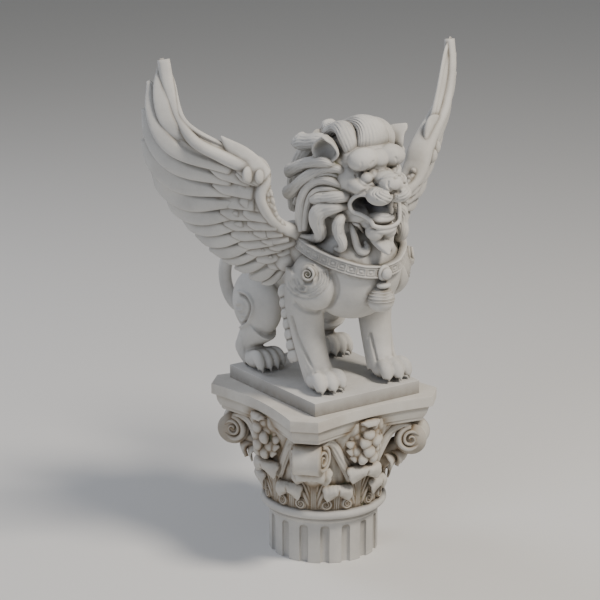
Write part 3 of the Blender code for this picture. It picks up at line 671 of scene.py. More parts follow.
def volute(corner):
    """A corner volute: a broad band between two scrolls that splay apart, its stalks and the leaf below."""
    along = Vector((sin(radians(corner)), -cos(radians(corner)), 0.0))
    across = Vector((0, 0, 1)).cross(along)
    centre = Vector(polar(corner, VOLUTE_REACH, VOLUTE_HEIGHT))
    half = VOLUTE_BAND + VOLUTE_RADIUS * sin(SPLAY) - 0.014
    shares = np.linspace(-1, 1, 13)
    girth = VOLUTE_RADIUS * (1 - 0.06 * (1 - shares ** 2) ** 0.8)
    made = [rope([np.array(centre + across * half * s) for s in shares], girth, girth, along, 12, 40)]
    for side in (-1, 1):
        face = (across * side * cos(SPLAY) + along * sin(SPLAY)).normalized()
        inward = (-along * cos(SPLAY) + across * side * sin(SPLAY)).normalized()
        middle = centre + across * side * (half - 0.002)
        made += spiral(middle, face, (0, 0, 1), VOLUTE_RADIUS, side * -2.2, 0.0105, 0.012, 80, 12)
        root = Vector(polar(corner + side * 36, bell_radius(0.12) + 0.002, 0.11))
        path = [root] + [base + inward * back + Vector((0, 0, rise)) for base, back, rise in (
            (root.lerp(middle, 0.35), 0.03, 0.012), (middle, 0.074, 0.030), (middle, 0.030, 0.052),
            (middle, 0, VOLUTE_RADIUS - 0.010))]
        made.append(rope([np.array(p) for p in path], [0.024, 0.023, 0.020, 0.015, 0.009],
                         [0.014, 0.015, 0.015, 0.013, 0.010], face, 30, 40, lobes=4, groove=0.34))
    made.append(rope([polar(corner, 0.150, 0.080), polar(corner, 0.205, 0.140), polar(corner, 0.256, 0.186)],
                     [0.050, 0.046, 0.034], [0.034, 0.034, 0.024], (0, 0, 1), 10, 24))
    s, v = np.linspace(0, 1, 16)[:, None], np.linspace(-1, 1, 21)[None]
    radial = curve([0.212, 0.236, 0.258, 0.266, 0.260], 15)[:, None]
    rise = curve([0.118, 0.150, 0.158, 0.148, 0.132], 15)[:, None]
    angle = corner + np.degrees(0.046 * v * (0.75 + 0.25 * s) / radial)
    edge = rise - 0.014 * v ** 2 * s + 0.005 * np.abs(np.sin(3 * pi * v)) * s
    made.append(plate(polar(angle, radial - 0.014 * v ** 2, edge), 0.014))
    return made


def fleuron(angle):
    """The bouquet of drooping leaves in the middle of a side."""
    made = [ball(polar(angle, 0.210, 0.236), (0.058, 0.034, 0.066), (0, 0, angle), 3)]
    out = polar(angle, 1, -FOOT)
    rows = ((0.294, (-0.8, 0.7), 0.022), (0.268, (-1.7, -0.1, 1.5), 0.025),
            (0.240, (-2.3, -0.8, 0.9, 2.2), 0.024), (0.211, (-1.7, -0.1, 1.6), 0.024),
            (0.186, (-0.8, 0.8), 0.021))
    for row, (height, places, size) in enumerate(rows):
        for number, place in enumerate(places):
            bulge = 0.256 - 0.0075 * place ** 2 - 3.0 * (height - 0.238) ** 2
            side = place + 0.25 * sin(7 * number + 3 * row)
            droop = [polar(angle + place * 4.2, bulge - 0.030, height + 0.016),
                     polar(angle + (place + side) * 2.3, bulge - 0.002, height + 0.010),
                     polar(angle + side * 5.0, bulge + 0.003, height - 0.006),
                     polar(angle + side * 5.2, bulge - 0.006, height - 0.018)]
            made.append(rope(droop, [size * 0.6, size * 0.9, size * 0.86, size * 0.4],
                             [0.013, 0.015, 0.014, 0.007], out, 12, 20, lobes=3, groove=0.18))
    for side in (-1, 1):
        for rise, apart, long in ((0.256, 15.0, 0.034), (0.230, 17.0, 0.034), (0.204, 15.5, 0.026),
                                  (0.182, 12.5, 0.018)):
            spray = [polar(angle + side * apart * 0.45, 0.222, rise),
                     polar(angle + side * apart * 0.8, 0.236, rise + 0.008),
                     polar(angle + side * apart * 1.10, 0.230, rise + long * 0.5)]
            made.append(rope(spray, [0.013, 0.017, 0.004], [0.009, 0.009, 0.003], out, 12, 16, lobes=2,
                             groove=0.30))
    crown = [polar(angle, *spot) for spot in ((0.215, 0.290), (0.240, 0.306), (0.262, 0.310), (0.270, 0.298))]
    made.append(rope(crown, [0.034, 0.040, 0.036, 0.018], [0.009, 0.010, 0.011, 0.008], (0, 0, 1), 12, 32,
                     lobes=4, groove=0.30))
    return made


shapes = []
for number in range(4):
    shapes += volute(45 + 90 * number) + fleuron(90 * number)
scrolls = build("capital_scrolls", shapes)
piece(scrolls, CAPITAL_STONE)

# %% [markdown]
# ## The lion's body
# Lumps for chest, ribs, haunches and legs run into one another, the way a carver roughs out a figure. Then
# strokes draw the tendons, the crescents on the shoulders and the scrolls on the haunches. A body of many
# separate lumps would show a seam at each, and modelling it face by face would hide how it is built up.

# %% Body
UNIT, LION_FOOT = 0.001, LION[0].z
BODY_GRID, KEPT = 0.0038, 0.58  # how fine the body is run together, and the share of its triangles kept
TAIL = ((0, 285, 270), (-32, 355, 162), (-66, 402, 142), (-88, 430, 188), (-96, 436, 262), (-80, 416, 345),
        (-50, 368, 395), (-24, 322, 392), (-20, 298, 355))
TAIL_HALF = (40, 28, 23, 22, 22, 25, 34, 30, 10)


def at(points):
    """Points of the lion, given in millimetres above the slab, in metres."""
    p = np.asarray(points, float)
    return p * UNIT + np.array([0, 0, LION_FOOT])


def lump(centre, radii, turn=(0, 0, 0), detail=4):
    """A ball of the lion, in millimetres."""
    return ball(at(centre), np.asarray(radii) * UNIT, turn, detail)


def limb(points, widths, depths, face=(0, -1, 0), steps=24, sides=20, **more):
    """A rope of the lion, in millimetres."""
    return rope(at(points), np.asarray(widths) * UNIT, np.asarray(depths) * UNIT, face, steps, sides, **more)


def paw(heel, toe, half, toes):
    """A paw from heel to toe, its knuckled toes and their claws."""
    heel, toe = Vector((*heel, 0)), Vector((*toe, 0))
    ahead = (toe - heel).normalized()
    aside = Vector((-ahead.y, ahead.x, 0))
    middle = heel.lerp(toe, 0.42)
    made = [lump((middle.x, middle.y, 34), (half * 0.92, (toe - heel).length * 0.44, 36))]
    size = half * 1.02 / toes
    for number in range(toes):
        apart = (number - (toes - 1) / 2) / ((toes - 1) / 2)
        tip = toe + aside * apart * (half - size) - ahead * abs(apart) * 9
        root = middle + aside * apart * (half - size) * 0.72
        knuckles = [(*root.lerp(tip, share).xy, h) for share, h in ((0, 44), (0.55, 50), (0.85, 36), (1, 15))]
        made.append(limb(knuckles, [size * share for share in (0.9, 1.06, 1.04, 0.74)], [22, 22, 20, 12],
                         (0, 0, 1), 14, 16))
        claw = [(*(tip + ahead * far).xy, h) for far, h in ((-9, 26), (4, 20), (10, 3))]
        made.append(limb(claw, [7, 6, 2], [8, 7, 2], (0, 0, 1), 8, 10))
    return made


shapes = [lump((0, -150, 392), (160, 155, 165)), lump((0, -20, 365), (140, 190, 140)),
          lump((0, 130, 332), (120, 178, 110)), lump((0, 222, 290), (116, 99, 114)),
          lump((0, -84, 540), (138, 144, 148)),
          limb(TAIL, TAIL_HALF, TAIL_HALF, (1, 0, 0), 60, 20)]
for side, foot in ((-1, (-106, -150)), (1, (140, -165))):
    lean = foot[0] - side * 120
    shapes += [lump((side * 142, -150, 372), (66, 90, 96)),
               limb([(side * 138, -112, 400), (side * 138, -90, 290), (side * 132 + lean * 0.3, -90, 190),
                     (side * 126 + lean * 0.7, -108, 95), (foot[0] - side * 4, foot[1] + 26, 30)],
                    [72, 64, 53, 48, 50], [78, 68, 55, 52, 52], (0, -1, 0), 30, 32)]
    shapes += paw((foot[0], foot[1] + 50), (foot[0] + side * 2, foot[1] - 56), 62, 3)
    elbow = [(side * 138, -66, 350), (side * 140, -22, 318), (side * 140, 2, 330)]
    hock = [(side * 132, 165, 150), (side * 146, 205, 95), (side * 150, 222, 55), (side * 142, 190, 26)]
    shapes += [limb(elbow, [16, 14, 4], [30, 16, 4], (1, 0, 0), 10, 12),
               lump((side * 130, 192, 212), (64, 112, 112), (-18, 0, 0)),
               limb(hock, [55, 43, 37, 40], [73, 47, 39, 40], (0, 1, 0), 20, 24),
               lump((side * 156, 244, 58), (24, 22, 34), detail=3)]
    shapes += paw((side * 144, 205), (side * 132, 96), 60, 4)
body = build("lion_body", shapes)
fuse(body, BODY_GRID, 3)
cut(body, block("bed", (-1, -1, LION_FOOT - 0.4), (1, 1, LION_FOOT)))
BODY = tree_of(body)


def both(strokes, corner, scale, tree, sides=(1, -1)):
    """Strokes drawn on an enlarged part of the photograph, on the surface and on its other side."""
    made = []
    for points, width, depth in strokes:
        path = seen(crop(corner, scale, points), tree)
        for side in sides:
            if len(path) > 1:
                own = path if side == 1 else onto(path * (-1, 1, 1), tree)
                made.append((own, width, depth))
    return made


def arc(centre, radius, start, end, squash=1.0, count=9):
    """Points of an arc on the enlarged photograph, its angles in degrees, clockwise from the right."""
    return [(centre[0] + radius * cos(radians(a)), centre[1] + radius * squash * sin(radians(a)))
            for a in np.linspace(start, end, count)]


FLANK = ((200, 230), 6.533)  # corner and scale of the enlarged photograph that the body's strokes are on
strokes = [(arc((700, 300), r, -15, 165, 0.98), 0.0050, 0.0050) for r in (72, 92, 112, 132, 152)]
strokes += [(arc((740, 378), 158, -35, 140), 0.012, 0.0080),
            ([(600, 570), (640, 700), (700, 830), (745, 935)], 0.0075, 0.0075),
            ([(572, 560), (602, 700), (640, 850), (662, 930)], 0.0060, 0.0045),
            ([(585, 560), (622, 700), (672, 850), (700, 935)], 0.0060, -0.0030),
            ([(255, 400), (310, 420), (345, 480), (342, 540), (312, 608), (270, 638), (232, 620)],
             0.0080, -0.0090),
            ([(262, 420), (300, 440), (328, 490), (322, 545), (296, 600), (262, 620)], 0.0065, 0.0070),
            ([(270, 690), (290, 770), (288, 850)], 0.0060, 0.0040),
            (arc((262, 500), 26, -150, 150), 0.0060, -0.0060),
            (arc((280, 575), 20, -120, 160), 0.0055, -0.0050),
            (arc((716, 330), 34, -80, 190), 0.0065, -0.0080),
            (arc((672, 372), 24, -40, 220), 0.0060, -0.0070),
            ([(600, 290), (604, 350), (640, 410), (700, 428)], 0.0060, -0.0060),
            ([(745, 230), (760, 290), (742, 340)], 0.0060, -0.0060)]
left_leg = [([(1112, 680), (1132, 760), (1152, 850)], 0.0070, 0.0070),
            ([(1090, 560), (1100, 700), (1082, 840)], 0.0070, 0.0035)]
strokes = both(strokes, *FLANK, BODY) + both(left_leg, *FLANK, BODY, (1,))
carve(body, strokes)
thin(body, KEPT)
painted_shade(body, [])
piece(body, LION_STONE, "winged_lion")

# %% [markdown]
# ## The head
# Skull, cheeks and jaw run together, and the open mouth is cut through them. Brows, nose, muzzle, tongue and
# chin are added, and then the creases of the brow and the whisker grooves are carved. The mouth is cut
# before the lips are laid round it, because a hole cut later would take the lips away again.

# %% Head
SKULL_GRID, FACE_GRID = 0.0028, 0.0023
FACE = ((270, 90), 8.711)  # corner and scale of the enlarged photograph that the face's strokes are on
MOUTH = ((0, -210, 640), (0, -245, 640), (0, -280, 636), (0, -330, 614), (0, -400, 588))
HALF_RIM = ((-54, -338, 662), (-72, -310, 670), (-88, -288, 662), (-96, -270, 638), (-90, -275, 613),
            (-73, -300, 604), (-57, -322, 590), (-48, -330, 572), (-24, -336, 564))
MOUTH_RIM = HALF_RIM + ((0, -338, 562),) + tuple((-x, y, h) for x, y, h in HALF_RIM[::-1])
LOWER_LIP = ((-50, -314, 556), (-24, -328, 550), (0, -332, 548), (24, -328, 550), (50, -314, 556))
BEARD = ((0, -270, 536), (0, -294, 516), (0, -324, 494), (0, -346, 476))

shapes = [lump((0, -150, 722), (110, 116, 108)), lump((0, -110, 640), (134, 138, 156)),
          lump((0, -232, 776), (98, 58, 48)), lump((0, -262, 566), (52, 62, 22), (10, 0, 0)),
          lump((0, -300, 668), (62, 60, 26))]
for side in (-1, 1):
    shapes += [lump((side * 62, -222, 694), (54, 64, 66)),
               lump((side * 68, -270, 692), (36, 49, 27), (0, 0, side * 20)),
               lump((side * 70, -194, 740), (48, 52, 60)), lump((side * 62, -206, 612), (46, 56, 46)),
               lump((side * 48, -228, 590), (38, 58, 32))]
head = build("head", shapes)
fuse(head, SKULL_GRID, 4)
cut(head, build("mouth", [limb(MOUTH, [26, 66, 104, 120, 120], [10, 22, 31, 42, 52], (0, 0, 1), 30, 40,
                               square=0.7)]))
rim_out = unit(np.array(curve(MOUTH_RIM, 120)) - (0, -250, 620))
shapes = [(np.array([v.co for v in head.data.vertices]), [list(p.vertices) for p in head.data.polygons]),
          limb(MOUTH_RIM, [7] * 19, [7] * 19, rim_out, 120, 20),
          limb(LOWER_LIP, [6, 9, 10, 9, 6], [7, 11, 11, 11, 7], steps=20, sides=16),
          lump((0, -350, 706), (39, 35, 29)), lump((0, -318, 714), (35, 50, 24)),
          lump((0, -280, 768), (36, 36, 33)), lump((0, -278, 744), (30, 30, 18)),
          lump((0, -292, 580), (50, 48, 20), (-8, 0, 0)), lump((0, -304, 592), (26, 36, 12), (-10, 0, 0)),
          limb(BEARD, [26, 30, 22, 5], [18, 17, 12, 4], steps=16, sides=24, square=0.7)]
for side in (-1, 1):
    shapes += [lump((side * 51, -276, 772), (52, 43, 36), (0, side * 8, 0)),
               lump((side * 36, -340, 667), (41, 44, 30)), lump((side * 18, -362, 700), (18, 18, 15)),
               lump((side * 29, -290, 720), (16, 24, 20)), lump((side * 55, -301, 718), (19, 19, 19)),
               lump((side * 24, -302, 543), (28, 32, 27)), lump((side * 44, -292, 694), (22, 28, 14))]
bpy.data.objects.remove(head, do_unlink=True)
head = build("lion_head", shapes)
fuse(head, FACE_GRID, 2)
HEAD = tree_of(head)
strokes = [([(x - 4, 640), (x, 690), (x + 8, 740)], 0.0070, 0.0016) for x in (800, 880)]
strokes += [([(1096, 590), (1104, 650), (1098, 700)], 0.0060, 0.0040),
            ([(938, 800), (990, 770), (1050, 756), (1110, 768)], 0.0060, 0.0040),
            ([(1030, 800), (1026, 836), (1050, 866), (1084, 880)], 0.0060, 0.0045),
            ([(925, 860), (888, 902), (930, 958), (1020, 1000), (1085, 1002)], 0.0040, 0.0034),
            ([(945, 865), (912, 900), (950, 940), (1034, 978), (1098, 980)], 0.0040, 0.0034),
            ([(965, 868), (944, 896), (985, 924), (1046, 952), (1104, 954)], 0.0040, 0.0034),
            ([(985, 872), (976, 890), (1015, 908), (1060, 926), (1106, 926)], 0.0036, 0.0030),
            ([(1088, 884), (1112, 894), (1132, 884)], 0.0070, 0.0090),
            ([(640, 880), (720, 905), (800, 892), (880, 868)], 0.0090, 0.0040),
            ([(748, 740), (778, 800), (826, 838), (900, 838)], 0.0070, 0.0050)]
carve(head, both(strokes, *FACE, HEAD))
thin(head, KEPT)
# The inside of the mouth is painted dark, as its shade.
painted_shade(head, [(at(place), radius, 0.95) for place, radius in (
    ((0, -250, 636), 0.070), ((-45, -268, 636), 0.052), ((45, -268, 636), 0.052))])
piece(head, LION_STONE)

# %% [markdown]
# ## The ears
# Each ear is a cup with a thick rim that stands off the mane. It is made from rings of one outline, which
# widen towards the rim, turn over it and shrink into the cup, so both its faces come from a single list.

# %% Ears
EAR_RIM = ((-160, -214, 846), (-151, -226, 835), (-133, -234, 820), (-121, -244, 790), (-131, -224, 765),
           (-151, -186, 766), (-159, -162, 788), (-163, -176, 819))
# share of the rim, depth and sideways drift of each ring of an ear
EAR_RINGS = ((0.30, 0.070, 0.012), (0.55, 0.056, 0.010), (0.80, 0.034, 0.006), (0.96, 0.013, 0.002),
             (1.04, 0.002, 0), (1.03, -0.004, 0), (0.94, -0.006, 0), (0.84, 0.000, 0), (0.76, 0.014, 0),
             (0.62, 0.030, 0), (0.40, 0.042, 0), (0.15, 0.046, 0))
shapes = []
for side in (-1, 1):
    rim = at(curve(np.array(EAR_RIM + EAR_RIM[:1]) * (side, 1, 1), 48)[:-1])
    centre = rim.mean(0)
    axis = unit(np.cross(rim - centre, np.roll(rim, -1, 0) - centre).sum(0))
    axis = axis * -np.sign(axis[1])
    rings = [centre + (rim - centre) * share - axis * sink + np.array((-side * drift, drift, 0))
             for share, sink, drift in EAR_RINGS]
    shapes.append(tube(np.array(rings)))
ears = build("ears", shapes)
# The ear cups are painted a little darker, as the shade inside them.
painted_shade(ears, [(at((side * 134, -186, 796)), 0.030, 0.30) for side in (-1, 1)])
piece(ears, LION_STONE)

# %% [markdown]
# ## The mane
# Each lock is a flat rope with seven or more fine ridges that swings back or down. The ones of
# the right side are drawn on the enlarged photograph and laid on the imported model, and the left has the same.
# Ridged ropes keep each lock a shape of its own, as carved hair is, where a bump would only tint the surface.

# %% Mane
# points in millimetres, half-widths and depths, and how many ridges a lock has
CREST = (((0, -248, 780), (0, -256, 826), (0, -240, 862), (0, -190, 864), (0, -128, 842), (0, -76, 822),
          (0, -40, 820), (0, -16, 838)),
         (58, 58, 50, 42, 36, 33, 34, 22), (10, 22, 25, 26, 24, 24, 25, 12), 13)
TEMPLE = (((-66, -246, 780), (-74, -234, 826), (-66, -200, 852), (-54, -150, 850), (-42, -100, 828),
           (-30, -60, 820)), (22, 32, 32, 28, 26, 20), (10, 17, 20, 20, 20, 14), 8)
NAPE = (((-92, -160, 800), (-102, -112, 806), (-110, -66, 796), (-112, -34, 790), (-112, -12, 796)),
        (22, 28, 28, 30, 28), (20, 22, 22, 24, 16), 7)
BACK = (((-38, -40, 800), (-58, 22, 730), (-68, 52, 650), (-62, 66, 580), (-56, 86, 545)),
        (36, 38, 38, 34, 22), (28, 30, 30, 28, 20), 7)
SPINE = (((0, -40, 812), (0, 30, 758), (0, 72, 664), (0, 92, 584), (0, 112, 552)),
         (38, 40, 38, 36, 30), (28, 30, 30, 28, 20), 7)
LOCKS = (  # points and half-widths on the enlarged photograph, and how far the lock stands out
    (((610, 660), (490, 624), (400, 620), (310, 640), (250, 664), (205, 690), (175, 700)),
     (16, 40, 52, 56, 56, 60, 66), 0.020),
    (((690, 700), (570, 668), (450, 690), (340, 746), (256, 820), (204, 872), (165, 890)),
     (20, 40, 52, 54, 56, 58, 62), 0.022),
    (((660, 760), (530, 716), (430, 730), (340, 790), (270, 880), (226, 980)),
     (20, 34, 40, 40, 38, 26), 0.020),
    (((660, 840), (510, 776), (420, 772), (350, 816), (304, 890), (276, 1000), (262, 1110), (262, 1230)),
     (24, 44, 50, 50, 50, 48, 44, 34), 0.018),
    (((660, 900), (530, 866), (430, 860), (360, 910), (330, 990), (310, 1100), (296, 1220)),
     (16, 34, 36, 34, 32, 32, 26), 0.014),
    (((690, 920), (570, 932), (480, 942), (400, 946), (352, 950)), (40, 56, 64, 56, 26), 0.026),
    (((690, 1010), (560, 1012), (460, 1030), (408, 1080), (400, 1140), (436, 1210), (458, 1260), (420, 1304),
      (340, 1304), (264, 1262)), (24, 60, 74, 76, 72, 60, 50, 42, 32, 18), 0.022),
    (((660, 1060), (604, 1120), (580, 1180), (592, 1250), (640, 1316), (648, 1374), (608, 1402), (566, 1384)),
     (20, 44, 50, 48, 42, 34, 26, 14), 0.022),
    (((700, 1100), (706, 1170), (722, 1240), (744, 1320), (762, 1384), (796, 1424), (842, 1410), (850, 1350),
      (824, 1322)), (14, 24, 28, 32, 34, 36, 34, 26, 14), 0.018),
    (((690, 1150), (730, 1142), (790, 1180), (810, 1240)), (14, 18, 16, 10), 0.010),
)
CARVED = tree_of(frame["nodes"]["winged_lion"])
shapes = []
for points, widths, depths, lobes in (CREST, TEMPLE, NAPE, BACK, SPINE):
    for side in (1, -1) if points[0][0] else (1,):
        path = np.array(points) * (side, 1, 1)
        out = curve(unit(path - np.array((0, -120, 640))), 48)
        shapes.append(limb(path, widths, depths, out, 48, 10 * lobes, lobes=lobes, groove=0.16))
for points, widths, depth in LOCKS:
    path = seen(crop(*FACE, points), CARVED, 0.15 * depth)
    path[1:-1] = path[1:-1] * 0.5 + (path[2:] + path[:-2]) * 0.25
    path[0] -= unit(path[0] - at((0, -130, 600))) * 0.034
    half = np.array(widths) * 0.00037
    for side in (1, -1):
        own = path * (side, 1, 1)
        out = curve(unit(own - at((0, -130, 600))), 50)
        shapes.append(rope(own, half, np.minimum(depth, half * 1.1), out, 50, 60, lobes=7, groove=0.17))
mane = build("lion_mane", shapes)
painted_shade(mane, [])
piece(mane, LION_STONE)

# %% [markdown]
# ## The wings
# Thirteen quills, each with a narrow upper and a broad lower vane, two rows of coverts and rows of small
# scales, along the smooth band of the arm. The left wing ends a little lower and its edge is one smooth arc.
# Every feather is a rope between two listed points, so one function makes both wings, each on its own path.

# %% Wings
QUILL_TIPS = ((556, 72, 1087), (594, 88, 1020), (608, 98, 934), (605, 110, 836), (573, 111, 733),
              (531, 103, 652), (485, 89, 579), (440, 78, 515), (396, 66, 462), (356, 55, 426),
              (315, 45, 392), (268, 32, 356), (229, 21, 332))
QUILL_ROOTS = ((380, -40, 785), (375, -36, 735), (370, -32, 700), (365, -28, 665), (355, -26, 632),
               (340, -26, 596), (325, -26, 562), (300, -26, 527), (275, -28, 497), (250, -30, 468),
               (222, -32, 442), (195, -34, 420), (170, -34, 400))
COVERT_TIPS = ((428, -10, 800), (436, -5, 748), (424, 0, 695), (410, 4, 645), (394, 6, 602), (380, 10, 562),
               (354, 8, 522), (330, 6, 490), (305, 3, 462), (268, -2, 428), (228, -10, 400))
COVERT_ROOTS = ((320, -56, 745), (310, -54, 700), (305, -52, 662), (300, -50, 626), (290, -48, 592),
                (275, -48, 560), (255, -48, 530), (235, -48, 505), (205, -48, 480), (175, -50, 460),
                (150, -50, 440))
MEDIAN_TIPS = ((366, -40, 730), (362, -38, 685), (352, -36, 640), (338, -33, 600), (322, -30, 562),
               (300, -30, 530), (273, -34, 501), (245, -34, 473), (215, -36, 445))
MEDIAN_ROOTS = ((268, -72, 690), (264, -70, 650), (258, -68, 612), (248, -68, 580), (232, -68, 555),
                (212, -68, 532), (190, -66, 512), (165, -64, 496), (140, -62, 480))
ARM = ((124, -66, 500), (165, -71, 516), (216, -64, 537), (262, -62, 588), (285, -62, 640), (277, -68, 692),
       (293, -64, 731), (354, -52, 752), (420, -30, 785), (484, 0, 829), (526, 26, 905), (548, 50, 1006),
       (553, 66, 1085))
ARM_WIDTHS = (40, 22, 20, 18, 18, 22, 27, 24, 18, 16, 16, 19, 17)
ARM_THICK = (40, 44, 56, 70, 80, 84, 84, 78, 70, 60, 50, 40, 30)  # the leading edge, front to back
BOWS = (0.24, 0.20, 0.17, 0.15, 0.14, 0.12, 0.08) + (0.06,) * 6  # of the quills, as shares of their lengths
THICK_SHIFT = np.array((0.55, -0.79, 0.27))  # where the front of the edge lies, as shares of its thickness
EDGE_WIDTH, LEAN = 240.0, 44.0
ARM_PATH, THICK_PATH = curve(ARM, 60), curve(ARM_THICK, 60)
QUILL_WIDTHS = (0.5, 0.62, 0.80, 0.96, 1.0, 0.82, 0.16)  # along a feather, as shares of its half-width
LEFT_ARM = ((124, -66, 500), (165, -71, 516), (216, -64, 545), (262, -64, 590), (296, -62, 620),
            (322, -60, 658), (345, -50, 700), (384, -32, 740), (430, -8, 775), (480, 16, 820),
            (523, 42, 885), (545, 54, 950), (551, 66, 1031))
LEFT_PATH = curve(LEFT_ARM, 60)


def swept(points):
    """Points of the wing brought out to the front of the thick edge that they hang from."""
    away = np.linalg.norm(points[:, None] - ARM_PATH, axis=2)
    share = np.minimum(1, away.min(1) / EDGE_WIDTH)
    lean = np.minimum(1, np.maximum(share, (points[:, 2] - 820) / 120))
    return points + THICK_SHIFT * (THICK_PATH[away.argmin(1)] * (1 - share) - LEAN * lean)[:, None]


def on_left(points):
    """The same points of the left wing, along the outer side of its own edge."""
    away = np.linalg.norm(points[:, None] - ARM_PATH, axis=2)
    near, step = 1 - np.minimum(1, away.min(1) / EDGE_WIDTH), away.argmin(1)
    ahead = np.array((0.80, -0.10, 0)) * (THICK_PATH[step, None] / 2 - 8)
    return points + (LEFT_PATH[step] - ARM_PATH[step]) * near[:, None] + ahead * near[:, None] ** 3


def wing(side):
    """The shapes of one wing: side -1 is the lion's right, 1 its left."""
    def place(points, lift=0.0):
        p = np.atleast_2d(np.asarray(points, float))
        return (on_left(p) if side > 0 else swept(p) * (-1, 1, 1)) - (0, lift, 0)

    face = (side * 0.5, -0.87, 0)
    thick = np.array(ARM_THICK, float)
    edge = place(ARM) + np.array((-side * 0.5, 0.87, 0)) * (thick[:, None] / 2 - 20)
    edge = LEFT_ARM if side > 0 else edge
    made = [limb(edge, np.array(ARM_WIDTHS) + 2, thick / 2, face, 90, 32, square=0.8)]
    for number, (tip, root) in enumerate(zip(QUILL_TIPS, QUILL_ROOTS)):
        beside = QUILL_TIPS[number - 1] if number else QUILL_TIPS[1]
        tip, root, beside = (np.array(p, float) for p in (tip, root, beside))
        half = min(46, 0.50 * np.linalg.norm(tip - beside))
        length = np.linalg.norm(tip - root)
        bow = length * BOWS[number] * (0.35 if side > 0 else 1)
        across = unit(np.array((tip[2] - root[2], 0, root[0] - tip[0]))) * bow
        middle = (tip + root) / 2 + (across[0], 4, across[2])
        widths = [half * share for share in QUILL_WIDTHS]
        made.append(limb(place([root, middle, tip]), widths, [12, 12, 11, 10, 9, 8, 3], face, 40, 40,
                         split=-side * 0.40, groove=0.85))
    for tips, roots, half, lift in ((COVERT_TIPS, COVERT_ROOTS, 30, 6), (MEDIAN_TIPS, MEDIAN_ROOTS, 27, 10)):
        for tip, root in zip(tips, roots):
            made.append(limb(np.vstack([place(root, lift * 0.5), place(tip, lift)]),
                             [half, half, half, half * 0.92, half * 0.35], [13, 13, 12, 10, 5], face, 20, 28,
                             square=0.8))
    inner, outer = curve(np.array(ARM[1:6], float), 40), curve(np.array(MEDIAN_ROOTS[::-1][:8], float), 40)
    for row, (share, count, size) in enumerate(((1.0, 11, 17), (0.76, 12, 16), (0.52, 13, 13))):
        for number in range(count):
            step = int((number + 0.5 * (row % 2)) / count * 40)
            centre = inner[step] * (1 - share) + outer[step] * share
            away = unit(outer[step] - inner[step])
            scale = np.vstack([place(centre - away * size, 4), place(centre + away * size * 1.15, 8)])
            made.append(limb(scale, [size, size, size * 0.6], [12, 11, 5], face, 8, 16, square=0.8))
    raised = 14 if side < 0 else 4
    alula_end = (418, -30, 846) if side < 0 else (440, -24, 806)
    alula = [(284, -66, 702), (322, -56, 738), (368, -44, 786), alula_end]
    made.append(limb(place(alula, raised), [32, 40, 34, 3], [17, 17, 14, 5], face, 28, 28))
    made += [lump(place((304, -66, 716), raised + 9)[0], (24, 13, 26), (0, 0, side * -20)),
             lump(place((342, -58, 724), raised + 9)[0], (27, 13, 29), (0, 0, side * -20)),
             lump((side * 150, -50, 470), (50, 74, 74)), lump((side * 176, -40, 440), (44, 50, 60))]
    return made


for side, name in ((-1, "wing_right"), (1, "wing_left")):
    item = build(name, wing(side))
    painted_shade(item, [])
    piece(item, LION_STONE)

# %% [markdown]
# ## Collar, bell and trimmings
# A flat collar with two raised rims and a row of small framed panels, a round boss and a ribbed bell.
# Spiral knobs sit on the shoulders, and tufts of hair hang down the backs of the forelegs. The collar is a
# strip whose height is a formula of the place along and across it, which repeats its panels by itself.

# %% Trimmings
COLLAR = ((0, -316, 414), (70, -300, 424), (133, -247, 447), (168, -180, 470), (176, -110, 492),
          (160, -40, 512))


def strip(points, face, half, height, steps, columns=20):
    """A band laid along a path: its front stands height(along, across) above the path, all in metres."""
    path = curve(points, steps)
    along = np.r_[0, np.cumsum(np.linalg.norm(np.diff(path, axis=0), axis=1))][:, None]
    across = np.linspace(-1, 1, columns)[None] * half
    u = np.concatenate([np.broadcast_to(across, (steps + 1, columns)),
                        np.broadcast_to(across[:, ::-1], (steps + 1, columns))], axis=1)
    v = np.concatenate([height(along, across), np.full((steps + 1, columns), -0.012)], axis=1)
    return sweep(path, face, u, v)


def collar_height(along, across):
    """The collar's rims and framed panels, as a height above its path."""
    share = across / 0.020
    rim = 0.0050 * np.exp(-((np.abs(share) - 0.82) / 0.14) ** 2)
    cell = (along % 0.030) / 0.030
    frame_line = np.maximum(np.abs(cell - 0.5) / 0.5, np.abs(share) / 0.62)
    key = 0.0046 * (np.exp(-((frame_line - 0.78) / 0.12) ** 2) + 0.6 * (frame_line < 0.34))
    return 0.006 + rim + np.where(np.abs(share) < 0.68, key, 0.0)


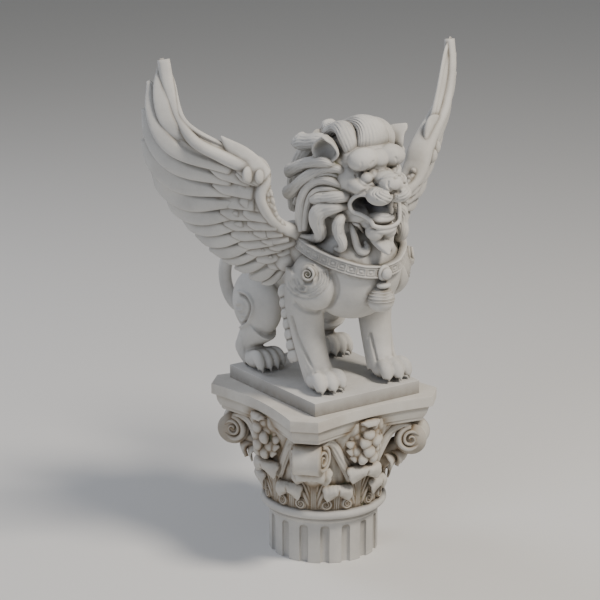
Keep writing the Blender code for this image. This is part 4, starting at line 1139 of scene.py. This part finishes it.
shapes = []
for side in (-1, 1):
    path = at(np.array(COLLAR) * (side, 1, 1))
    out = curve(unit((path - at((0, -110, 430))) * (1, 1, 0.15)), 200)
    shapes.append(strip(path, out, 0.020, collar_height, 200))
    for number in range(7):
        h, back = 292 - number * 33, -8 - number * 9
        tuft = [(side * 146, back - 22, h + 24), (side * 156, back + 14, h + 4),
                (side * 154, back + 26, h - 20)]
        shapes.append(limb(tuft, [23, 23, 6], [17, 15, 5], (side, 0, 0), 14, 32, lobes=4, groove=0.25))
    face = unit(np.array((side * 0.80, -0.58, 0.16)))
    knob = onto([at((side * 190, -190, 408))], BODY, 0.002)[0]
    shapes.append(ball(knob - face * 0.002, (0.012, 0.030, 0.030), (0, 0, side * -36), 3))
    shapes += spiral(knob + face * 0.007, face, (0, 0, 1), 0.027, side * 2.0, 0.0052, 0.006, 50, 10)
shapes += [lump((0, -322, 412), (24, 14, 26)), lump((0, -336, 412), (18, 14, 18)),
           lump((0, -320, 372), (24, 20, 12)), lump((0, -306, 324), (43, 43, 43))]
for rise, girth in ((351, 33), (342, 38.5), (333, 41.5), (324, 42.6)):
    angle = np.linspace(0, 2 * pi, 41)
    ring = np.c_[girth * np.cos(angle), -306 + girth * np.sin(angle), np.full(41, float(rise))]
    shapes.append(limb(ring, [1.9] * 41, [1.9] * 41, (0, 0, 1), 80, 8))
trimmings = build("collar_and_bell", shapes)
painted_shade(trimmings, [])
piece(trimmings, LION_STONE)

# %% [markdown]
# ## Hollows
# The stone is browner where the carving is deep: dirt and moss gather there, and the darkening is also painted
# shade. How far the carving shuts in each point is measured with short rays, and kept as the attribute that the
# limestone reads. A quick export leaves this out.

# %% Hollows


def hollows(items, reach=0.045, rays=8):
    """Write how shut in each point of some objects is, 0 to 1, as the attribute `hollow`."""
    tree = tree_of(*items)
    around = np.array([(sin(t) * cos(p), sin(t) * sin(p), cos(t)) for t, p in
                       [(radians(28 + 34 * (k % 2)), 2 * pi * k / rays) for k in range(rays)]])
    for item in items:
        co, no = points_of(item)
        no = unit(no)
        side = unit(np.cross(no, np.where(np.abs(no[:, 2:]) < 0.9, (0.0, 0.0, 1.0), (1.0, 0.0, 0.0))))
        other = np.cross(no, side)
        shut = np.zeros(len(co))
        start = co + no * 0.0008
        for ray in around:
            aim = side * ray[0] + other * ray[1] + no * ray[2]
            for index, (place, way) in enumerate(zip(start.tolist(), aim.tolist())):
                found = tree.ray_cast(place, way, reach)[3]
                if found is not None:
                    shut[index] += 1 - found / reach
        value = shut / rays * 1.35
        ends = np.empty(len(item.data.edges) * 2, np.int32)
        item.data.edges.foreach_get("vertices", ends)
        a, b = ends.reshape(-1, 2).T
        count = np.bincount(np.r_[a, b], minlength=len(co)) + 1.0
        for _ in range(2):
            value = (value + np.bincount(a, value[b], len(co)) + np.bincount(b, value[a], len(co))) / count
        layer = item.data.attributes.new("hollow", "FLOAT", "POINT")
        layer.data.foreach_set("value", np.clip(value, 0, 1).astype(np.float32))
        print(item.name, "hollow", round(float(value.mean()), 3))


hollows(PIECES)
